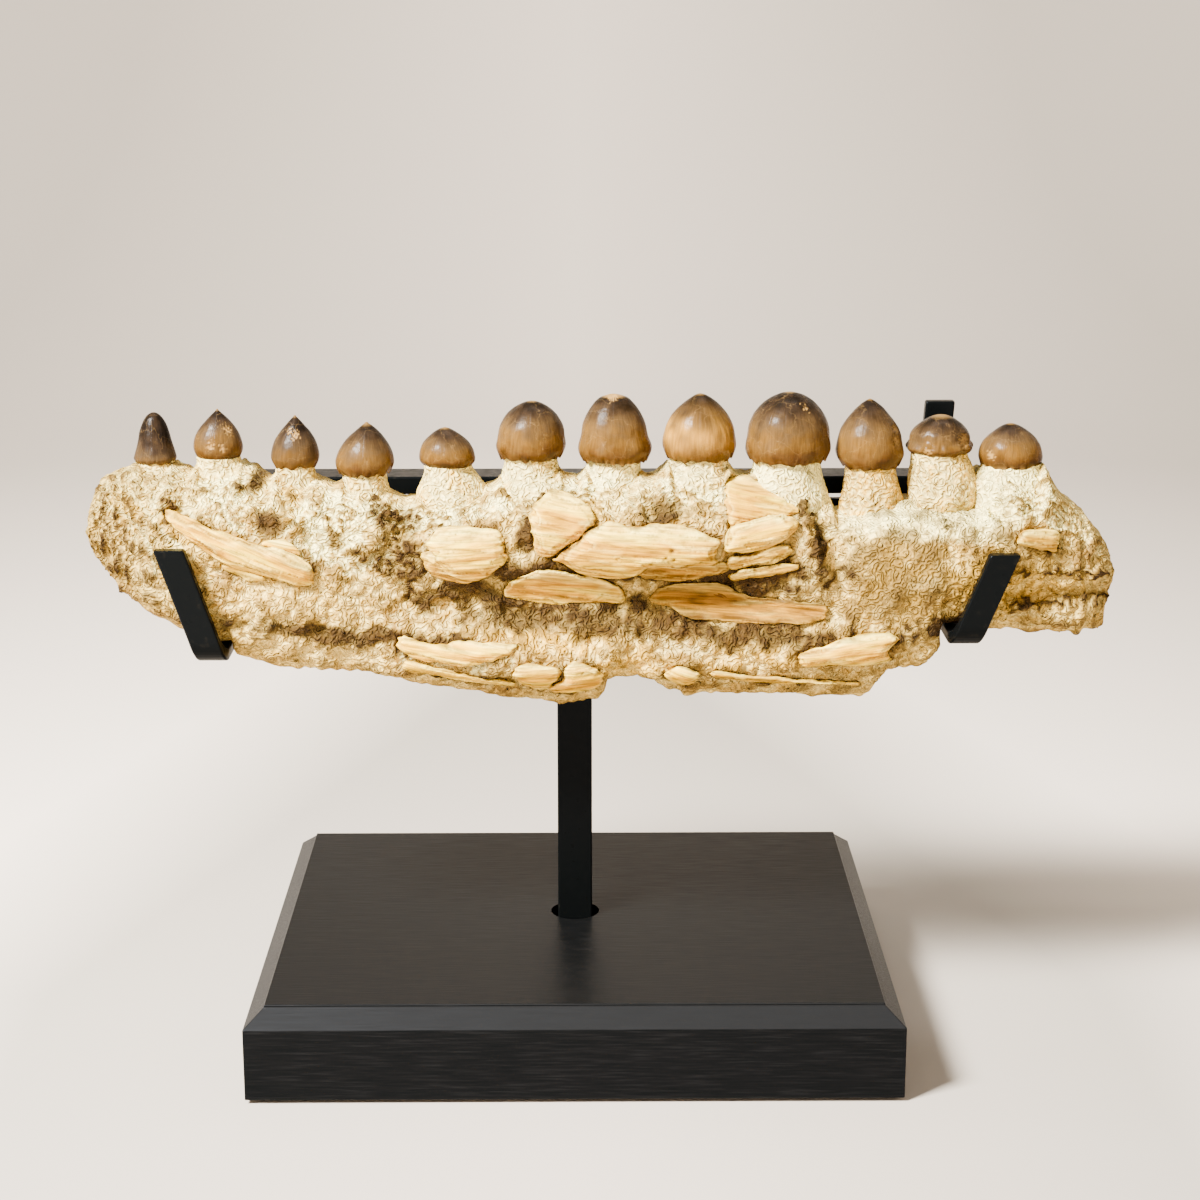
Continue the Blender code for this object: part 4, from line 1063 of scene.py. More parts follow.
x = even_stations(STATIONS)[:, None]
crest = crest_z(x) + 0.2 * read_sheet(CRUMBS, x, 5.0) + 0.04 * read_sheet(WORMS, x, 9.0)
for tooth, flare in zip(TEETH, ROOT_FLARES):
    gap = np.abs(x - root_middle(tooth, crest)) - root_radius(tooth, crest)
    crest = crest + 1.4 * flare * np.exp(-np.maximum(gap, 0) / 1.7) * np.exp(-(np.minimum(gap, 0) / 2.0) ** 2)
belly = belly_z(x) + 0.18 * read_sheet(CRUMBS, x, 55.0) + 0.03 * read_sheet(WORMS, x, 59.0)
ends = smooth_step(x, -166.6, -163.0) * (1 - smooth_step(x, 182.5, 185.3))
crest = crest_z(x) + (crest - crest_z(x)) * ends
belly = belly_z(x) + (belly - belly_z(x)) * ends
face_share, back_share = edge_shares(FACE_ROWS)[None, :], edge_shares(BACK_ROWS)[None, ::-1][:, 1:-1]
z = np.hstack((belly + face_share * (crest - belly), belly + back_share * (crest - belly)))
x = np.repeat(x, z.shape[1], axis=1)
front = np.zeros(z.shape, bool)
front[:, :FACE_ROWS] = True
share = np.hstack((np.repeat(face_share, STATIONS, 0), np.repeat(back_share, STATIONS, 0)))
seam = BELLY_LINE + share * (TOOTH_LINE - BELLY_LINE)
smooth_z = belly_z(x) + share * (crest_z(x) - belly_z(x))
depth = TOOTH_LINE - face_y(x, smooth_z)
for tooth in TEETH:
    across = (x - root_middle(tooth, z)) / root_radius(tooth, z)
    peg = DEPTH_RATIO * root_radius(tooth, z) * np.sqrt(np.maximum(1 - across ** 2, 0))
    sunk = smooth_step(z, 192, 206)
    peg = (peg - 0.5) * sunk - 12 * (1 - sunk)
    near = smooth_step(1 - share, 0.0, 0.03) * (np.abs(across) < 1.6) * (1 - on_ledge(x))
    depth = np.where(near > 0, depth + (blended(depth, peg, 3.0) - depth) * near, depth)
y_face = TOOTH_LINE - depth
y_back = seam + edge_share(share, BACK_ROUNDING) * ((BACK_PLANE - seam) * end_taper(x))
y = np.where(front, y_face, y_back)
rock = np.stack((x, y, z), axis=2)
print("rings:", rock.shape[0], "points a ring:", rock.shape[1])

# %% [markdown]
# Now the relief. A region is a soft patch on the face: the smooth pillow, the trough beside the
# fourth tooth, the hollows under the bone. Each sets how strong the ridges are there and how dark
# the dust and painted shade are. Low places are found by taking the blurred relief from the sharp
# one; they are painted darker as shade, and high places lighter as highlight.

# %% Relief and stains of the rock
Region = namedtuple("Region", "x z half_length half_height slope")
PILLOW = Region(112, 175, 25, 20, -8)
TROUGH = Region(-61, 185, 9, 15, 12)
LEFT_ROCK = Region(-92, 163, 42, 14, -8)
HOLLOWS = (
    Region(-40, 170, 22, 6, -6), Region(-5, 176, 30, 6, -6), Region(-20, 161, 24, 5, -4),
    Region(10, 160, 34, 6, -4), Region(58, 155.5, 40, 5, -1), Region(60, 175, 26, 7, 6),
    Region(33, 176, 16, 4, -4), Region(84, 186, 3, 14, 8), Region(128, 160, 12, 4, 10), Region(-108, 206.5, 4, 3.5, 0),
    Region(-103, 195, 5, 7, -30), Region(30, 199, 9, 4, 0), Region(-16, 193, 5, 9, -20),
    Region(-80, 156, 40, 4, -6), Region(96, 152, 22, 2.5, 8),
)
CHALKS = (
    Region(-78, 190, 12, 14, 20), Region(-120, 207, 10, 6, -10), Region(-6, 204, 20, 4, 5),
    Region(155, 203, 16, 10, -35), Region(-45, 196, 14, 5, 10),
    Region(43, 204, 16, 4, 0), Region(-88, 190, 7, 12, -10), Region(-40, 149, 22, 5, -8), Region(-132, 197, 14, 3, -25),
)
OCHRES = (
    Region(-95, 199, 6, 7, 0), Region(-130, 192, 22, 6, -25), Region(-150, 200, 9, 6, 0),
    Region(60, 147, 18, 4, 0), Region(20, 144, 14, 5, 0), Region(155, 203, 7, 6, -30),
    Region(4, 199, 5, 5, 0), Region(-5, 153, 30, 4, -4), Region(150, 172, 25, 10, 0),
)
VEINED = (Region(-120, 200, 34, 11, -12), Region(-150, 196, 12, 8, -30), Region(152, 203, 14, 8, -30))
# Lines that stand out or are cut in: corners, width and height in millimetres
RIDGES = (
    (((76.2, 206.5), (78.5, 195.9), (82.5, 183.4), (84, 176)), 1.5, -2.6),
    (((81.5, 203.5), (83.5, 194), (87, 183)), 2.2, 1.2),
    (((22.5, 154.6), (40, 150), (63.6, 145.6)), 3.2, 1.8),
    (((150, 178), (166, 177.2), (182, 176.5)), 1.1, -1.6),
    (((148, 165.2), (166, 165.8), (184, 168)), 1.2, -1.8),
    (((-31, 166), (-10, 168), (8, 170)), 2.2, -1.2),
    (((-70, 198), (-62, 186), (-52, 172)), 4.0, -1.4),
    (((10, 152), (2, 158), (-20, 160)), 2.0, 0.9),
    (((-164, 188), (-160, 176), (-150, 165)), 2.0, 0.6),
)
VEINS = (
    ((-158.2, 199.1), (-153.9, 197.7), (-149.6, 195.3), (-145.5, 190.8), (-143.0, 184.9), (-142.0, 177.2)),
    ((-149.9, 204.3), (-146.0, 200.5), (-141.8, 196.3), (-138.7, 191.5), (-133.1, 187.3)),
    ((-102, 189), (-95, 194), (-91, 201)), ((-120, 203), (-116, 195), (-112, 192)),
    ((-84, 203), (-87, 195), (-83, 188), (-88, 182)),
)


def patch(x, z, region):
    """1 in the middle of a region, falling softly to 0 round it."""
    slope = math.radians(region.slope)
    u = (x - region.x) * math.cos(slope) + (z - region.z) * math.sin(slope)
    v = -(x - region.x) * math.sin(slope) + (z - region.z) * math.cos(slope)
    wander = 0.22 * read_sheet(LUMPS, x, z) + 0.09 * read_sheet(CRUMBS, x, z)
    return 1 - smooth_step(np.hypot(u / region.half_length, v / region.half_height) + wander, 0.45, 1.3)


def any_patch(x, z, regions):
    return np.max([patch(x, z, region) for region in regions], axis=0)


def blurred(grid, reach):
    """A grid evened out over reach points both ways, three times."""
    for _ in range(3):
        for axis in (0, 1):
            padded = np.concatenate(
                (np.repeat(grid.take([0], axis), reach + 1, axis), grid,
                 np.repeat(grid.take([-1], axis), reach, axis)), axis,
            )
            total = np.cumsum(padded, axis)
            grid = (total.take(range(2 * reach + 1, total.shape[axis]), axis)
                    - total.take(range(0, total.shape[axis] - 2 * reach - 1), axis)) / (2 * reach + 1)
    return grid


along_ring = np.gradient(rock, axis=1)
along_jaw = np.gradient(rock, axis=0)
normals = np.cross(along_ring, along_jaw)
normals /= np.linalg.norm(normals, axis=2)[..., None] + 1e-12
steps = np.linalg.norm(np.diff(rock, axis=1), axis=2)
walked = np.hstack((np.zeros((STATIONS, 1)), np.cumsum(steps, axis=1)))
face_x, face_z = rock[..., 0], rock[..., 2]
# Millimetres up the face, over the crest and down the back, without a jump from ring to ring
crest_row = FACE_ROWS - 1
upward = face_z + (rock[..., 1] - FACE_PLANE) * (2 * share - 1)
over_crest = upward[:, crest_row:crest_row + 1] + walked - walked[:, crest_row:crest_row + 1]
walked = np.where(front, upward, over_crest)
at_end = 1 - smooth_step(face_x, -166.6, -146) * (1 - smooth_step(face_x, 166, 185.4))
flow_x = face_x + rock[..., 1] * at_end
swirl = 0.8 * read_sheet(CRUMBS, flow_x, walked)
worm = np.tanh(1.5 * read_sheet(WORMS, flow_x + swirl, walked - swirl))
fine = read_sheet(GRIT, flow_x, walked)
crumb = read_sheet(CRUMBS, flow_x + 80, walked)
lump = read_sheet(LUMPS, flow_x + 40, walked)
pillow = patch(face_x, face_z, PILLOW) * front
trough = patch(face_x, face_z, TROUGH) * front
shelf = smooth_step(face_z - shelf_z(face_x), -1.6, 0.2) * on_ledge(face_x) * front
rooty = smooth_step(face_z, crest_z(face_x) - 13, crest_z(face_x) - 4) * (1 - on_ledge(face_x))
near_edge = 1 - smooth_step(np.minimum(share, 1 - share), 0.0, 0.10)
relief = (0.22 - 0.14 * pillow + 0.2 * trough) * worm + 0.06 * fine + (0.28 - 0.18 * pillow + 0.25 * trough) * crumb
relief = relief * (1 - 0.9 * near_edge)
relief = relief + 0.6 * lump * (1 - 0.4 * rooty) * (1 - 0.55 * pillow) * (1 - 0.5 * near_edge)
warped_x, warped_z = face_x + 0.9 * crumb, face_z + 0.9 * read_sheet(CRUMBS, face_x - 50, face_z)
for line, width, height in RIDGES:
    relief = relief + height * np.exp(-(distance_to(warped_x, warped_z, line) / width) ** 2) * front
veins = np.max([np.exp(-(distance_to(face_x, face_z, vein) / 0.7) ** 2) for vein in VEINS], axis=0) * front
network = np.exp(-(read_sheet(CRUMBS, face_x * 0.9 + 30, walked * 0.9) / 0.17) ** 2)
network = network * any_patch(face_x, face_z, VEINED) * front
veins = np.maximum(veins, network)
relief = relief + 0.5 * veins
sharp_ends = (smooth_step(face_x, -166.6, -162) * (1 - smooth_step(face_x, 182, 185.4)))
relief = relief * (0.25 + 0.75 * sharp_ends)
rock = rock + normals * relief[..., None]

# The rock round each flake is painted darker, as shade at the flake's foot.
shade_round_bone = np.zeros(face_x.shape)
for name, flake in FLAKES.items():
    outline = np.asarray(flake.corners, float)
    low, high = outline.min(axis=0) - 2, outline.max(axis=0) + 2
    box = front & (face_x > low[0]) & (face_x < high[0]) & (face_z > low[1]) & (face_z < high[1])
    bx, bz = rock[box][:, 0], rock[box][:, 2]
    signed = np.where(is_inside(bx, bz, outline), 1, -1) * distance_to(bx, bz, outline, closed=True)
    cover = smooth_step(signed, -0.6, 0.9)
    under = sheet_y(flake_fits[name], bx, bz) + 0.5
    points = rock[box]
    sunk = points[:, 1] + (np.maximum(points[:, 1], under) - points[:, 1]) * cover
    points[:, 1] = np.where(signed > -0.8, sunk, points[:, 1])
    rock[box] = points
    near = np.exp(-np.maximum(-signed, 0) / 1.2)
    shade_round_bone[box] = np.maximum(shade_round_bone[box], near)

# Low places are painted darker, as shade, and the hollows under the bone darker still, as shade with dust.
low_fine = np.clip((blurred(relief, 2) - relief) / 0.28, 0, 1)
low_wide = np.clip((blurred(relief, 8) - relief) / 0.9, 0, 1)
dust_and_shade_patch = any_patch(face_x, face_z, HOLLOWS) * front
dust_and_shade = (0.3 * low_fine + 0.26 * low_wide) * (1 - 0.8 * dust_and_shade_patch) * (1 - 0.5 * pillow) + 0.92 * dust_and_shade_patch
# Round each flake, in the trough and on the pillow under the shelf the rock is painted darker, as shade.
dust_and_shade = dust_and_shade + 0.4 * shade_round_bone + 0.64 * trough + 0.62 * pillow
# Darker towards the left end, and low on the face at the far end.
dust_and_shade = dust_and_shade + 0.46 * (1 - smooth_step(face_x, -160, -118)) * front
dust_and_shade = dust_and_shade + 0.22 * smooth_step(face_x, 142, 156) * (1 - smooth_step(face_z, 182, 194)) * front
# The deeper cut lines are painted darker, as shade in them.
for line, width, height in RIDGES:
    if height < -1.5:
        dust_and_shade = dust_and_shade + 0.3 * np.exp(-(distance_to(warped_x, warped_z, line) / width) ** 2) * front
mottle = smooth_step(0.6 * crumb + 0.7 * lump + 0.9 * worm, -1.0, 1.0)
streaked = any_patch(face_x, face_z, CHALKS) * (1 - mottle)
# Ridge tops are painted lighter, as highlight.
ridge_top_highlight = np.clip((relief - blurred(relief, 3)) / 0.3, 0, 1)
chalk_and_highlight = (any_patch(face_x, face_z, CHALKS) * 0.8 + 0.45 * rooty) * (0.15 + 0.85 * mottle)
chalk_and_highlight = chalk_and_highlight + 0.3 * ridge_top_highlight * (1 - 0.6 * pillow)
# The shelf top and a band just under its front edge are painted pale, as if lit from above.
rim = smooth_step(face_z - shelf_z(face_x), -8, -3) * on_ledge(face_x) * front
chalk_and_highlight = np.clip(chalk_and_highlight + 0.8 * veins + 0.4 * shelf + 0.6 * rim, 0, 1) * (1 - 0.7 * np.clip(dust_and_shade, 0, 1))
dust_and_shade = dust_and_shade + 0.34 * streaked * front
ochre = 0.5 * streaked + 0.6 * any_patch(face_x, face_z, OCHRES) + 0.3 * np.clip(lump, 0, 1) + 0.3 * np.clip(crumb, 0, 1) * rooty
dust_and_shade = np.where(front, np.clip(dust_and_shade, 0, 0.98), 0.25 * low_fine + 0.25 * low_wide)
print("relief from", round(float(relief.min()), 2), "to", round(float(relief.max()), 2), "mm")

# %% Skin of the rock
ring_points = rock.shape[1]
faces = grid_faces(STATIONS, ring_points, closed=True).tolist()
points = rock.reshape(-1, 3)
middles = [rock[0].mean(axis=0), rock[-1].mean(axis=0)]
first_cap, last_cap = len(points), len(points) + 1
last_ring = (STATIONS - 1) * ring_points
faces += [[i, (i + 1) % ring_points, first_cap] for i in range(ring_points)]
faces += [[last_ring + i, last_ring + (i + 1) % ring_points, last_cap] for i in range(ring_points)]
values = {
    name: np.concatenate((grid.ravel(), (0.4, 0.4)))
    for name, grid in (("dust_and_shade", dust_and_shade), ("chalk_and_highlight", chalk_and_highlight), ("ochre", ochre))
}
rock_skin = make_piece(
    "rock_block", np.vstack((points, middles)), faces, rock_finish, values,
)
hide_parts("jaw")
print(rock_skin.name, "faces:", len(rock_skin.data.polygons))

# %% [markdown]
# The crowns and roots are turned here. The root flares where it meets the rock's crest. The
# crown's rim sits over the root like a cap, a little wavy. Each crown gets its own marks: worn
# tops, chips, a nipple at the tip, or upright ridges.

# %% Turn the teeth
SIDES, ROOT_RINGS, CROWN_RINGS = 112, 46, 64
RIM_LIP = 0.5
Look = namedtuple("Look", "ridges nipple worn honey shade lip")
# Per tooth: upright ridges, height of the nipple, worn top, pale honey glow that is partly painted highlight, darkness,
# thick lower lip
LOOKS = (
    Look(34, 0.0, 0.0, 0.00, 0.42, 0.12), Look(0, 0.9, 0.0, 0.04, 0.06, 0.1), Look(0, 1.0, 0.0, 0.00, 0.15, 0.2),
    Look(0, 1.6, 0.0, 0.06, 0.08, 0.1), Look(0, 0.8, 0.0, 0.08, 0.00, 0.2), Look(0, 0.4, 0.0, 0.10, 0.02, 0.3),
    Look(0, 0.0, 0.5, 0.12, 0.06, 0.7), Look(26, 0.7, 0.0, 0.62, 0.06, 0.2), Look(0, 0.3, 0.0, 0.08, 0.08, 0.4),
    Look(0, 0.7, 0.0, 0.12, 0.02, 0.3), Look(0, 1.2, 0.0, 0.06, 0.12, 0.9), Look(0, 0.5, 0.0, 0.12, -0.04, 0.1),
)
Chip = namedtuple("Chip", "tooth turn share radius depth")
# Chips and pits: tooth, turn from the viewer's side towards +X in degrees, height, size, depth
CHIPS = (
    # The three pale chips on the second tooth are partly painted glints.
    Chip(1, -12, 0.30, 1.5, 0.25), Chip(1, 18, 0.26, 1.1, 0.3), Chip(1, 42, 0.62, 1.8, 0.4),
    Chip(2, 8, 0.66, 1.3, 0.25), Chip(2, -18, 0.72, 0.9, 0.2), Chip(6, -5, 0.97, 1.9, 0.2),
    Chip(9, 52, 0.40, 3.0, 0.7), Chip(9, 60, 0.58, 2.2, 0.5), Chip(10, 46, 0.42, 3.4, 0.8),
    Chip(10, -30, 0.16, 1.6, 0.3), Chip(8, 30, 0.80, 1.0, 0.2), Chip(11, -48, 0.30, 1.8, 0.3),
)
turns = np.linspace(0, 2 * math.pi, SIDES, endpoint=False)[None, :]
across, forward = np.sin(turns), -np.cos(turns)


def turned(tooth, middle, radius, z):
    """Rings of points round an upright axis; turn 0 faces the viewer."""
    return np.stack((
        middle + radius * across, TOOTH_LINE + DEPTH_RATIO * radius * forward, z + 0 * across,
    ), axis=2)


def make_root(number, tooth):
    z = np.linspace(tooth.base_z - 0.78 * ROOT_LENGTH, tooth.base_z + 0.6, ROOT_RINGS)[:, None]
    radius = root_radius(tooth, z) + 0 * across
    middle = root_middle(tooth, z)
    surface = crest_z(middle + radius * across) - 1.2 * np.abs(forward)
    radius = radius + ROOT_FLARES[number - 1] * np.exp(-np.maximum(z - surface, 0) / 1.8)
    rings = turned(tooth, middle, radius, z)
    arc = turns * tooth.root / 2
    worm = np.tanh(1.4 * read_sheet(WORMS, arc + 50 * number, z + 0 * arc))
    fine = read_sheet(GRIT, arc + 30 * number, z + 0 * arc)
    lump = cloud(rings, 5.5, number)
    facets = cloud(rings * np.array((1, 1, 0.35)), 4.0, number + 20)
    relief = 0.07 * worm + 0.04 * fine + 0.45 * lump + 0.40 * facets
    relief = relief * smooth_step(tooth.base_z - z, -0.6, 2.0)
    out = np.stack((across + 0 * z, forward + 0 * z, 0 * z + 0 * across), axis=2)
    rings = rings + out * relief[..., None]
    low = np.clip((blurred(relief, 2) - relief) / 0.22, 0, 1)
    # Low places on the root are painted darker, as shade, and worm crests a little paler, as highlight.
    dust_and_shade = 0.25 * low + 0.25 * smooth_step(-lump, 0.3, 0.9)
    pale, golden = ROOT_TONES[number - 1]
    gilded = smooth_step(facets + 0.5 * lump, -0.2, 0.6)
    chalk_and_highlight = pale * (1.1 - 0.5 * gilded) + 0.2 * worm - 0.5 * dust_and_shade
    ochre = golden * gilded
    values = {"dust_and_shade": dust_and_shade, "chalk_and_highlight": chalk_and_highlight, "ochre": ochre}
    faces = grid_faces(ROOT_RINGS, SIDES, closed=True).tolist()
    count = ROOT_RINGS * SIDES
    ends = [rings[0].mean(axis=0), rings[-1].mean(axis=0)]
    faces += [[i, (i + 1) % SIDES, count] for i in range(SIDES)]
    faces += [[count - SIDES + i, count - SIDES + (i + 1) % SIDES, count + 1] for i in range(SIDES)]
    values = {key: np.concatenate((grid.ravel(), (0, 0))) for key, grid in values.items()}
    return make_piece(
        f"root_{number:02d}", np.vstack((rings.reshape(-1, 3), ends)), faces, rock_finish,
        values,
    )


def make_crown(number, tooth, look):
    tall = tooth.tip_z - tooth.base_z
    share = 1 - (1 - np.linspace(0, 1, CROWN_RINGS)) ** 1.55
    share = np.concatenate(([0.05, 0.02, 0.0], share[1:-1], [0.9995]))[:, None]
    radius = crown_radius(tooth, share) + 0 * across
    radius[0], radius[1] = tooth.neck / 2 * 0.80, tooth.neck / 2 * 0.92
    if look.nipple > 0.6:
        below_tip = np.clip((1 - share) * tall / look.nipple, 0, 1)
        knob = 0.5 * look.nipple * np.sqrt(1 - (1 - below_tip) ** 4)
        radius = np.maximum(radius, knob * (below_tip < 1))
    middle = tooth.x + tooth.lean * share
    z = tooth.base_z + tall * share
    tip = np.exp(-(((1 - share) * tall / max(look.nipple, 0.1)) ** 1.4)) if look.nipple else 0 * share
    z = z - look.worn * smooth_step(share, 0.9, 1.0) * 1.2
    wavy = 0.35 * read_sheet(CRUMBS, turns * tooth.neck / 2, number * 20.0)
    z = z + wavy * np.exp(-share / 0.06)
    rings = turned(tooth, middle, radius, z)
    arc = turns * tooth.crown / 2
    round_share = np.clip(radius / (tooth.crown / 2), 0, 1)
    relief = 0.30 * cloud(rings, 7.0, number + 40) + 0.07 * cloud(rings, 1.8, number + 60)
    lip_wave = 0.14 + 0.025 * read_sheet(CRUMBS, arc, number * 3.0)
    relief = relief + 0.7 * look.lip * np.exp(-((share - lip_wave) / 0.09) ** 2)
    relief = relief - 0.7 * look.lip * np.exp(-((share - lip_wave - 0.22) / 0.12) ** 2)
    if look.ridges:
        comb = np.cos(turns * look.ridges + 1.5 * read_sheet(LUMPS, arc, z + 0 * arc))
        relief = relief + 0.09 * comb * round_share * (1 - 0.7 * share)
    chalk_and_highlight = 0.45 * smooth_step(tip, 0.3, 1.0) + 0 * across
    for chip in CHIPS:
        if chip.tooth != number - 1:
            continue
        angle = (turns - math.radians(chip.turn) + math.pi) % (2 * math.pi) - math.pi
        away = np.hypot(angle * radius, (share - chip.share) * tall)
        ragged = away + 0.7 * read_sheet(WORMS, arc * 2, z * 2 + 0 * arc)
        spot = 1 - smooth_step(ragged, 0.35 * chip.radius, 0.8 * chip.radius)
        relief = relief - chip.depth * spot
        chalk_and_highlight = chalk_and_highlight + 0.9 * spot
    rim = np.exp(-share / 0.035) * smooth_step(read_sheet(WORMS, arc, number * 7.0), -0.2, 1.0)
    chalk_and_highlight = chalk_and_highlight + (0.75 if number in (7, 12) else 0.25) * rim
    chalk_and_highlight = chalk_and_highlight + look.worn * 1.6 * smooth_step(share, 0.93, 0.99)
    out = np.stack((across + 0 * z, forward + 0 * z, 0.4 * share + 0 * across), axis=2)
    out = out * np.minimum(1, radius / 1.5)[..., None]
    rings = rings + out * relief[..., None]
    # Honey band round the lower middle of the crown: partly the enamel's own tone, partly a painted soft highlight.
    honey_and_highlight = look.honey * np.exp(-(((share - 0.42) / 0.26) ** 2)) * (0.7 + 0.5 * cloud(rings, 4.0, number + 80))
    values = {"height": share + look.shade + 0 * across, "chalk_and_highlight": chalk_and_highlight, "ochre": honey_and_highlight}
    count = len(share) * SIDES
    faces = grid_faces(len(share), SIDES, closed=True).tolist()
    ends = [rings[0].mean(axis=0), rings[-1].mean(axis=0)]
    faces += [[i, (i + 1) % SIDES, count] for i in range(SIDES)]
    faces += [[count - SIDES + i, count - SIDES + (i + 1) % SIDES, count + 1] for i in range(SIDES)]
    values = {key: np.concatenate((grid.ravel(), (0, 1))) for key, grid in values.items()}
    along = np.stack((arc + 0 * z, z + 0 * arc), axis=2).reshape(-1, 2)
    along = np.vstack((along, along[:1], along[-1:]))
    return make_piece(
        f"crown_{number:02d}", np.vstack((rings.reshape(-1, 3), ends)), faces, enamel_finish,
        values, along,
    )


for number, (tooth, look) in enumerate(zip(TEETH, LOOKS), 1):
    make_root(number, tooth)
    crown = make_crown(number, tooth, look)
print("teeth:", len(TEETH), "faces of a crown:", len(crown.data.polygons))

# %% [markdown]
# Loose grains of sand stick to the rock, most of them in the hollows. Placing thousands by hand
# is no work for a person, so a Geometry Nodes tree scatters them over a copy of the skin. It reads
# the value of dust and painted shade as its density, and gives each grain a size and a turn of its own.

# %% Scatter the grains
GRAIN_SIZE, GRAIN_SPREAD, GRAINS_PER_AREA = 0.4 * MM, 0.6, 26000


def grain_tree():
    group = bpy.data.node_groups.new("scattered grains", "GeometryNodeTree")
    face = group.interface
    face.new_socket("Geometry", in_out="INPUT", socket_type="NodeSocketGeometry")
    for name, value in (("Grain Size", GRAIN_SIZE), ("Density", GRAINS_PER_AREA), ("Spread", GRAIN_SPREAD)):
        socket = face.new_socket(name, in_out="INPUT", socket_type="NodeSocketFloat")
        socket.default_value = value
    seed = face.new_socket("Seed", in_out="INPUT", socket_type="NodeSocketInt")
    seed.default_value = 7
    face.new_socket("Finish", in_out="INPUT", socket_type="NodeSocketMaterial")
    face.new_socket("Geometry", in_out="OUTPUT", socket_type="NodeSocketGeometry")
    start = add_node(group, "NodeGroupInput").outputs
    dust_and_shade = add_node(group, "GeometryNodeInputNamedAttribute", {"Name": "dust_and_shade"}, data_type="FLOAT")
    wanted = add_node(
        group, "ShaderNodeMath", {0: start["Density"], 1: dust_and_shade.outputs["Attribute"]}, operation="MULTIPLY",
    )
    spots = add_node(
        group, "GeometryNodeDistributePointsOnFaces",
        {"Mesh": start["Geometry"], "Density": wanted.outputs[0], "Seed": start["Seed"]},
    )
    grain = add_node(group, "GeometryNodeMeshIcoSphere", {"Radius": start["Grain Size"], "Subdivisions": 1})
    smallest = add_node(group, "ShaderNodeMath", {0: 1.0, 1: start["Spread"]}, operation="SUBTRACT")
    size = add_node(
        group, "FunctionNodeRandomValue", {2: smallest.outputs[0], 3: 1.0, "Seed": start["Seed"]},
        data_type="FLOAT",
    )
    turn = add_node(
        group, "FunctionNodeRandomValue",
        {0: (0.0, 0.0, 0.0), 1: (math.tau, math.tau, math.tau), "Seed": start["Seed"]},
        data_type="FLOAT_VECTOR",
    )
    placed = add_node(
        group, "GeometryNodeInstanceOnPoints",
        {
            "Points": spots.outputs["Points"], "Instance": grain.outputs["Mesh"],
            "Rotation": turn.outputs[0], "Scale": size.outputs[1],
        },
    )
    real = add_node(group, "GeometryNodeRealizeInstances", {"Geometry": placed.outputs[0]})
    coated = add_node(
        group, "GeometryNodeSetMaterial", {"Geometry": real.outputs[0], "Material": start["Finish"]},
    )
    add_node(group, "NodeGroupOutput", {"Geometry": coated.outputs[0]})
    return group


def grown(name, mesh, group, inputs):
    """Runs a tree on a mesh and keeps the result as a plain mesh."""
    holder = bpy.data.objects.new(name, mesh)
    bpy.context.scene.collection.objects.link(holder)
    modifier = holder.modifiers.new("tree", "NODES")
    modifier.node_group = group
    sockets = {item.name: item.identifier for item in group.interface.items_tree if item.in_out == "INPUT"}
    for key, value in inputs.items():
        modifier[sockets[key]] = value
    evaluated = holder.evaluated_get(bpy.context.evaluated_depsgraph_get())
    made = bpy.data.meshes.new_from_object(evaluated)
    holder.modifiers.clear()
    holder.data = made
    made.name = name
    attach(holder, "root")
    return holder


grains = grown(
    "sand_grains", rock_skin.data.copy(), grain_tree(), {"Finish": rock_finish, "Seed": 7},
)
print("grains:", len(grains.data.polygons) // 20)

# %% [markdown]
# The arms are flat bars, bent round a former while hot, so their corners are arcs. A bar of this
# kind is a section swept along a route: the section is a rectangle with rounded corners, and both
# ends close in a small bevel. Points on the long edges carry the rubbed value for the worn paint.

# %% Steel arms
ARM_WIDTH, ARM_THICK, ARM_BEND, STEEL_EASE = 10.3, 4.2, 7.0, 0.7
ARM_BACK = -6.35 - 0.3 - ARM_THICK / 2
LEFT_FLOOR, RIGHT_FLOOR = 151.2 - 0.3 - ARM_THICK / 2, 157.2 - 0.3 - ARM_THICK / 2
BEND_STEPS, CORNER_STEPS = 12, 4


def rounded_route(corners, radius):
    """A line through the corners with an arc in place of each inner one."""
    corners = [Vector(corner) for corner in corners]
    route = [corners[0]]
    for before, corner, after in zip(corners, corners[1:], corners[2:]):
        inward, outward = (before - corner).normalized(), (after - corner).normalized()
        half_angle = inward.angle(outward) / 2
        room = 0.45 * min((before - corner).length, (after - corner).length)
        reach = min(radius / math.tan(half_angle), room)
        start, end = corner + inward * reach, corner + outward * reach
        middle = corner + (inward + outward).normalized() * (reach / math.cos(half_angle))
        arm = (start - middle).length
        for step in range(BEND_STEPS + 1):
            spoke = (start - middle).lerp(end - middle, step / BEND_STEPS)
            route.append(middle + spoke.normalized() * arm)
    return route + [corners[-1]]


def rounded_section(width, thick, ease):
    """Corners of a rectangle with eased edges, and which of them are on an edge."""
    section, on_edge = [], []
    for side_x, side_t, start in ((1, 1, 0), (-1, 1, 90), (-1, -1, 180), (1, -1, 270)):
        for step in range(CORNER_STEPS + 1):
            turn = math.radians(start + 90 * step / CORNER_STEPS)
            section.append((
                side_x * (width / 2 - ease) + ease * math.cos(turn),
                side_t * (thick / 2 - ease) + ease * math.sin(turn),
            ))
            on_edge.append(1.0 if 0 < step < CORNER_STEPS else 0.35)
    return section, on_edge


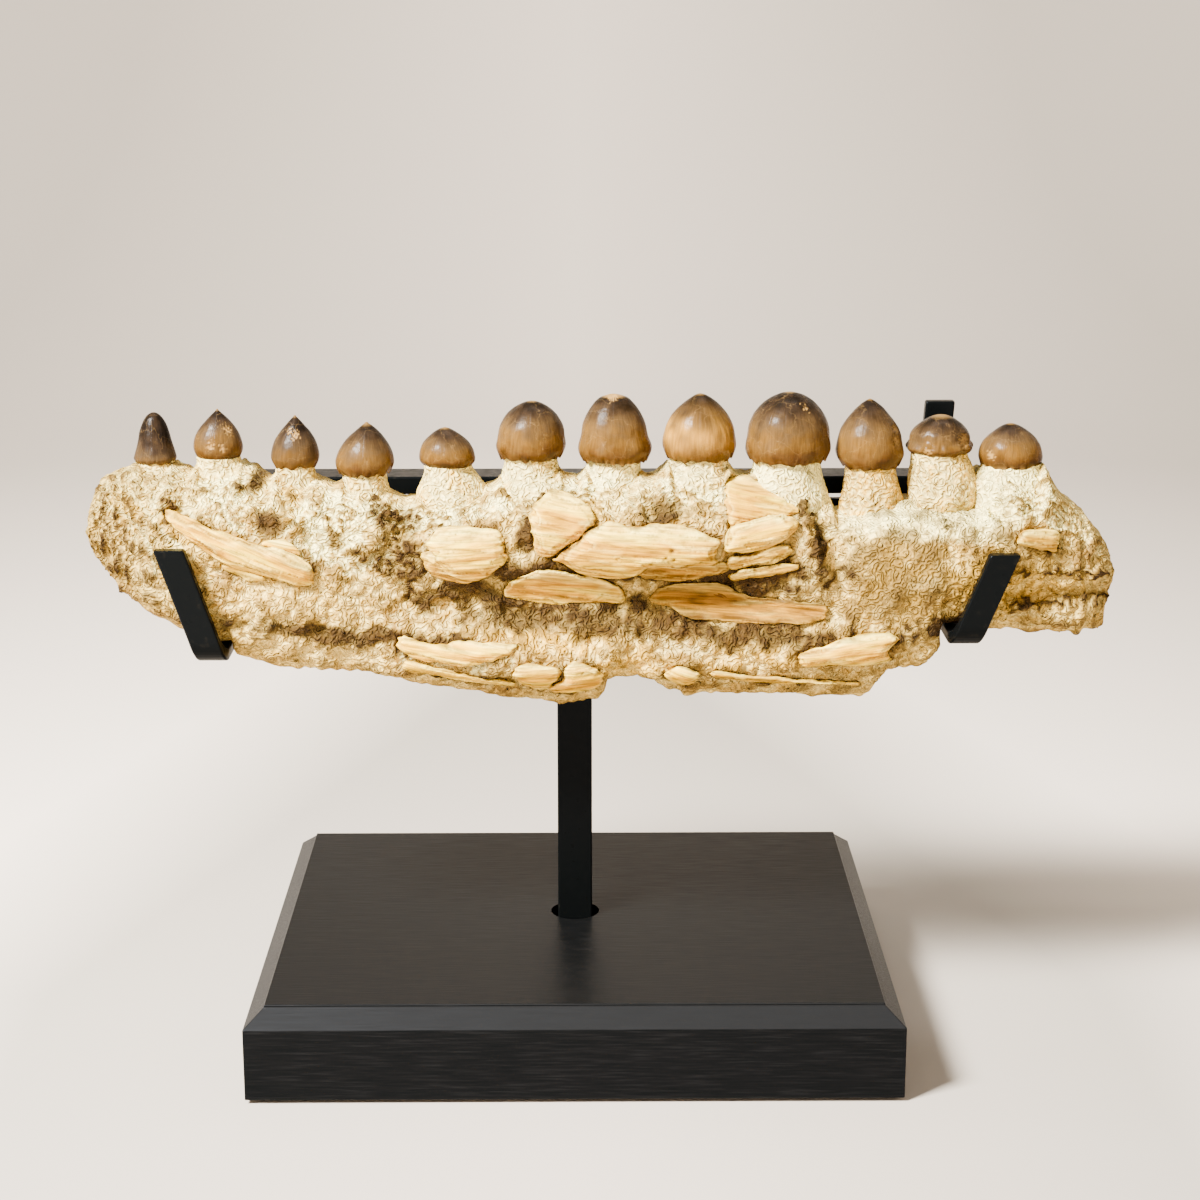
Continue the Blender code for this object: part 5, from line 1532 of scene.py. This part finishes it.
def bent_bar(name, corners, node):
    route = rounded_route(corners, ARM_BEND)
    section, on_edge = rounded_section(ARM_WIDTH, ARM_THICK, STEEL_EASE)
    ease = STEEL_EASE / ARM_THICK
    starts = [(0, 0.0, 1 - 1.2 * ease), (0, 0.35 * STEEL_EASE, 1 - 0.35 * ease)]
    rings, rubbed = [], []
    total = len(route)
    for i, point in enumerate(route):
        ahead = route[min(i + 1, total - 1)] - route[max(i - 1, 0)]
        normal = Vector((0, -ahead.z, ahead.y)).normalized()
        ring = [point + Vector((a, 0, 0)) + normal * t for a, t in section]
        if i in (0, total - 1):
            inward = (ahead if i == 0 else -ahead).normalized()
            ends = []
            for _, sink, scale in starts:
                ends.append([
                    point + inward * sink + Vector((a * (1 - (1 - scale) * ARM_THICK / ARM_WIDTH), 0, 0))
                    + normal * t * scale for a, t in section
                ])
            full = [place + inward * STEEL_EASE for place in ring]
            group = ends + [full] if i == 0 else [full] + ends[::-1]
            rings += group
            rubbed += [on_edge if member is full else [0.8] * len(section) for member in group]
        else:
            rings.append(ring)
            rubbed.append(on_edge)
    around = len(section)
    points = np.array([tuple(p) for ring in rings for p in ring])
    faces = grid_faces(len(rings), around, closed=True).tolist()
    faces.append(list(range(around))[::-1])
    faces.append([len(points) - around + i for i in range(around)])
    piece = make_piece(
        name, points, faces, steel_finish, {"rubbed": np.array(rubbed).ravel()}, smooth=False,
    )
    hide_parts(node)
    return piece


def front_of(node):
    """Depth of the middle of an arm's front strip."""
    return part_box(node)[0].y / MM + ARM_THICK / 2


left_front, right_front = front_of("arm_left"), front_of("arm_right")
arm_left = bent_bar("hooked_arm_left", (
    (-123.4, ARM_BACK, 201.2), (-123.4, ARM_BACK, LEFT_FLOOR), (-123.4, left_front, LEFT_FLOOR),
    (-136.2, left_front, 187.0),
), "arm_left")
arm_right = bent_bar("hooked_arm_right", (
    (129.4, ARM_BACK, 228.9), (127.6, ARM_BACK, 201.2), (133.0, ARM_BACK, RIGHT_FLOOR),
    (133.0, right_front, RIGHT_FLOOR), (145.2, right_front, 185.4),
), "arm_right")
print("arm fronts at", round(left_front, 1), round(right_front, 1), "mm")

# %% [markdown]
# The post, the crossbar and the bracket are cut from square and flat bar. A bar's edges are never
# sharp, and that thin rounded edge is what catches the light, so the post and the crossbar are boxes
# whose edges are bevelled in five steps, and the bracket is a flat outline pulled out and bevelled in three.

# %% Straight bars


def eased_bar(name, low, high, node, cuts=()):
    bm = bmesh.new()
    bmesh.ops.create_cube(bm, size=1)
    low, high = Vector(low), Vector(high)
    bmesh.ops.scale(bm, vec=high - low, verts=bm.verts)
    bmesh.ops.translate(bm, vec=(low + high) / 2, verts=bm.verts)
    bmesh.ops.bevel(bm, geom=list(bm.edges), offset=STEEL_EASE, segments=5, profile=0.5, affect="EDGES")
    points = np.array([tuple(v.co) for v in bm.verts])
    bm.verts.index_update()
    faces = [[v.index for v in face.verts] for face in bm.faces]
    bm.free()
    inner_low, inner_high = np.array(low) + STEEL_EASE, np.array(high) - STEEL_EASE
    outside = (points < inner_low - 0.05).sum(axis=1) + (points > inner_high + 0.05).sum(axis=1)
    piece = make_piece(
        name, points, faces, steel_finish, {"rubbed": (outside > 1) * 0.8}, smooth=False,
    )
    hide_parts(node)
    return piece


post_low, post_high = (np.array(corner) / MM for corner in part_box("post"))
bar_low, bar_high = (np.array(corner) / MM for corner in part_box("crossbar"))
post = eased_bar("square_post", post_low, post_high, "post")
crossbar = eased_bar("flat_crossbar", bar_low, bar_high, "crossbar")
bracket_low, bracket_high = (np.array(corner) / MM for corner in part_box("bracket"))
outline = (
    (88, bracket_low[2]), (127, bracket_low[2]), (127, bracket_high[2]), (112, bracket_high[2]),
    (112, bracket_low[2] + 11), (88, bracket_low[2] + 11),
)
bm = bmesh.new()
corners = [bm.verts.new((x, bracket_low[1], z)) for x, z in outline]
plate = bm.faces.new(corners)
pulled = bmesh.ops.extrude_face_region(bm, geom=[plate])
moved = [item for item in pulled["geom"] if isinstance(item, bmesh.types.BMVert)]
bmesh.ops.translate(bm, vec=(0, bracket_high[1] - bracket_low[1], 0), verts=moved)
bmesh.ops.bevel(bm, geom=list(bm.edges), offset=0.5, segments=3, profile=0.5, affect="EDGES")
bm.verts.index_update()
points = np.array([tuple(v.co) for v in bm.verts])
faces = [[v.index for v in face.verts] for face in bm.faces]
bm.free()
bracket = make_piece(
    "flat_bracket", points, faces, steel_finish, {"rubbed": np.zeros(len(points))},
    smooth=False,
)
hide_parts("bracket")
print("post:", len(post.data.polygons), "faces, bracket:", len(bracket.data.polygons), "faces")

# %% [markdown]
# The plinth is one board with a sloped rim planed round a slightly raised top, and a round socket
# bored for the post. It is built the way a joiner would: a block, whose top is inset and lifted
# twice, with every edge eased by a plane stroke, then bored with a Boolean.

# %% Plinth and felt
PLINTH_WIDTH, PLINTH_DEPTH, PLINTH_FOOT, PLINTH_SIDE = 226.0, 186.0, 1.5, 25.7
RIM_WIDTH, RIM_RISE, TOP_STEP, SOCKET_RADIUS, SOCKET_DEPTH = 9.4, 5.6, 0.9, 9.0, 16.0
bm = bmesh.new()
bmesh.ops.create_cube(bm, size=1)
bmesh.ops.scale(bm, vec=(PLINTH_WIDTH, PLINTH_DEPTH, PLINTH_SIDE), verts=bm.verts)
bmesh.ops.translate(bm, vec=(0, 0, PLINTH_FOOT + PLINTH_SIDE / 2), verts=bm.verts)
top = max(bm.faces, key=lambda face: face.calc_center_median().z)
bmesh.ops.inset_individual(bm, faces=[top], thickness=RIM_WIDTH, depth=RIM_RISE)
bmesh.ops.inset_individual(bm, faces=[top], thickness=0.15, depth=TOP_STEP)
bmesh.ops.bevel(bm, geom=list(bm.edges), offset=0.4, segments=4, profile=0.5, affect="EDGES")
bmesh.ops.scale(bm, vec=(MM, MM, MM), verts=bm.verts)
board_mesh = bpy.data.meshes.new("plinth_board")
bm.to_mesh(board_mesh)
bm.free()
board = bpy.data.objects.new("plinth_board", board_mesh)
bpy.context.scene.collection.objects.link(board)
drill_mesh = bpy.data.meshes.new("drill")
bm = bmesh.new()
bmesh.ops.create_cone(
    bm, cap_ends=True, segments=72, radius1=SOCKET_RADIUS * MM, radius2=SOCKET_RADIUS * MM,
    depth=2 * SOCKET_DEPTH * MM,
)
plinth_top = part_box("plinth")[1].z
bmesh.ops.translate(bm, vec=(0, 0, plinth_top), verts=bm.verts)
bm.to_mesh(drill_mesh)
bm.free()
drill = bpy.data.objects.new("drill", drill_mesh)
bpy.context.scene.collection.objects.link(drill)
bore = board.modifiers.new("socket", "BOOLEAN")
bore.operation, bore.object, bore.solver = "DIFFERENCE", drill, "EXACT"
evaluated = board.evaluated_get(bpy.context.evaluated_depsgraph_get())
bored = bpy.data.meshes.new_from_object(evaluated)
board.modifiers.clear()
board.data = bored
bpy.data.objects.remove(drill)
slopes = bored.attributes.new("sloped", "FLOAT", "FACE")
slopes.data.foreach_set("value", [float(0.4 < face.normal.z < 0.97) for face in bored.polygons])
bored.materials.clear()
bored.materials.append(wood_finish)
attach(board, "root")
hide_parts("plinth")

felt_half = (PLINTH_WIDTH / 2 - 3, PLINTH_DEPTH / 2 - 3)
around = []
for side in range(4):
    turn = side * math.pi / 2
    reach = felt_half if side % 2 == 0 else felt_half[::-1]
    for step in np.linspace(-1, 1, 90, endpoint=False):
        forward_x, forward_y = step * reach[0], -reach[1]
        around.append((
            forward_x * math.cos(turn) - forward_y * math.sin(turn),
            forward_x * math.sin(turn) + forward_y * math.cos(turn),
        ))
around = np.array(around)
rings = []
for height, pull in ((0.0, 0.25), (0.3, 0.0), (0.9, 0.0), (1.2, 0.25)):
    fray = pull + 0.12 * np.abs(read_sheet(GRIT, np.arange(len(around)) * 2.3, height * 5))
    rings.append(np.column_stack((around * (1 - fray / 100)[:, None], np.full(len(around), height))))
points = np.vstack(rings)
faces = grid_faces(4, len(around), closed=True).tolist()
faces.append(list(range(len(around)))[::-1])
faces.append([3 * len(around) + i for i in range(len(around))])
felt = make_piece("felt_sheet", points, faces, felt_finish, smooth=False)
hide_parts("felt_pad")
print("plinth faces:", len(bored.polygons), "felt faces:", len(felt.data.polygons))

# %% [markdown]
# The photo has a plain pale sweep with no horizon. A dish does that from every side: a flat floor
# that curves up into a wall far behind the object. It isn't part of the object.

# %% Floor
FLOOR_RADIUS, SWEEP_RADIUS, WALL_HEIGHT = 1150.0, 600.0, 1700.0
paper_finish, tree, shader = new_finish("matt paper sweep")
place = add_node(tree, "ShaderNodeTexCoord").outputs["Object"]
side = add_node(tree, "ShaderNodeSeparateXYZ", {0: place})
aside = add_node(tree, "ShaderNodeMath", {0: side.outputs["X"]}, operation="ABSOLUTE")
behind = add_node(tree, "ShaderNodeMath", {0: side.outputs["Y"], 1: 0.0}, operation="MAXIMUM")
reach = add_node(
    tree, "ShaderNodeMath", {0: behind.outputs[0], 1: 0.35, 2: aside.outputs[0]}, operation="MULTIPLY_ADD",
)
# The paper is painted darker round the stand, where its shadow falls, lighter in a ring beyond, and darker again far
# out, as the light falls off.
paper = add_node(
    tree, "ShaderNodeValToRGB", {"Fac": reach.outputs[0]},
    stops=(
        (0.0, "#B4A89B"), (0.2, "#A39A8D"), (0.32, "#DED1C1"), (0.6, "#C6BAAC"), (1.1, "#A49A8D"),
    ),
)
tree.links.new(paper.outputs[0], shader.inputs["Base Color"])
shader.inputs["Roughness"].default_value = 0.9
profile = [(radius, 0.0) for radius in np.linspace(0, FLOOR_RADIUS, 12)]
for step in range(1, 13):
    turn = math.pi / 2 * step / 12
    profile.append((FLOOR_RADIUS + SWEEP_RADIUS * math.sin(turn), SWEEP_RADIUS * (1 - math.cos(turn))))
profile.append((FLOOR_RADIUS + SWEEP_RADIUS, WALL_HEIGHT))
bm = bmesh.new()
line = [bm.verts.new((radius * MM, 0, height * MM)) for radius, height in profile]
edges = [bm.edges.new(pair) for pair in zip(line, line[1:])]
bmesh.ops.spin(bm, geom=line + edges, cent=(0, 0, 0), axis=(0, 0, 1), angle=math.tau, steps=64)
bmesh.ops.remove_doubles(bm, verts=bm.verts, dist=1e-5)
bmesh.ops.recalc_face_normals(bm, faces=bm.faces)
sweep_mesh = bpy.data.meshes.new("paper_sweep")
bm.to_mesh(sweep_mesh)
bm.free()
sweep_mesh.polygons.foreach_set("use_smooth", [True] * len(sweep_mesh.polygons))
sweep_mesh.materials.append(paper_finish)
sweep = bpy.data.objects.new("paper_sweep", sweep_mesh)
bpy.context.scene.collection.objects.link(sweep)
print("sweep faces:", len(sweep_mesh.polygons))

# %% [markdown]
# Museum photos are lit by large softboxes, so shadows are faint and highlights wide. One large
# light hangs above and in front on the left, a weaker one on the right, and a bright ceiling
# lights the ledges and shines in the lacquer of the plinth.

# %% Light and camera
Softbox = namedtuple("Softbox", "name place aim width height power colour")
SOFTBOXES = (
    Softbox("key", (-0.8, -0.7, 1.1), (0, 0, 0.17), 0.34, 0.34, 200.0, "#FFFDFA"),
    Softbox("fill", (1.1, -1.0, 0.7), (0, 0, 0.15), 0.7, 0.7, 4.0, "#FCFCFF"),
    Softbox("ceiling", (0.0, -0.1, 1.6), (0, 0, 0), 1.4, 1.2, 7.0, "#FFFFFF"),
    Softbox("backdrop", (0.0, 0.35, 1.5), (0, 1.7, 0.5), 1.2, 0.5, 12.0, "#FFFFFF"),
)
for box in SOFTBOXES:
    lamp = bpy.data.lights.new(box.name, "AREA")
    lamp.shape = "RECTANGLE"
    lamp.size, lamp.size_y, lamp.energy = box.width, box.height, box.power
    lamp.color = linear(box.colour)[:3]
    holder = bpy.data.objects.new(box.name, lamp)
    holder.location = box.place
    holder.rotation_euler = (Vector(box.aim) - Vector(box.place)).to_track_quat("-Z", "Y").to_euler()
    holder.visible_camera = False
    bpy.context.scene.collection.objects.link(holder)
world = bpy.data.worlds.new("room")
world.use_nodes = True
world.node_tree.nodes["Background"].inputs["Color"].default_value = linear("#FFFDFA")
world.node_tree.nodes["Background"].inputs["Strength"].default_value = 0.16
bpy.context.scene.world = world

lens = bpy.data.cameras.new("camera")
lens.lens, lens.sensor_width = 72, 36
camera = bpy.data.objects.new("camera", lens)
camera.location = (0.0018, -0.847, 0.3696)
camera.rotation_euler = (math.radians(90 - 14.27), 0, math.radians(-0.51))
bpy.context.scene.collection.objects.link(camera)
bpy.context.scene.camera = camera
print("lights:", [box.name for box in SOFTBOXES])
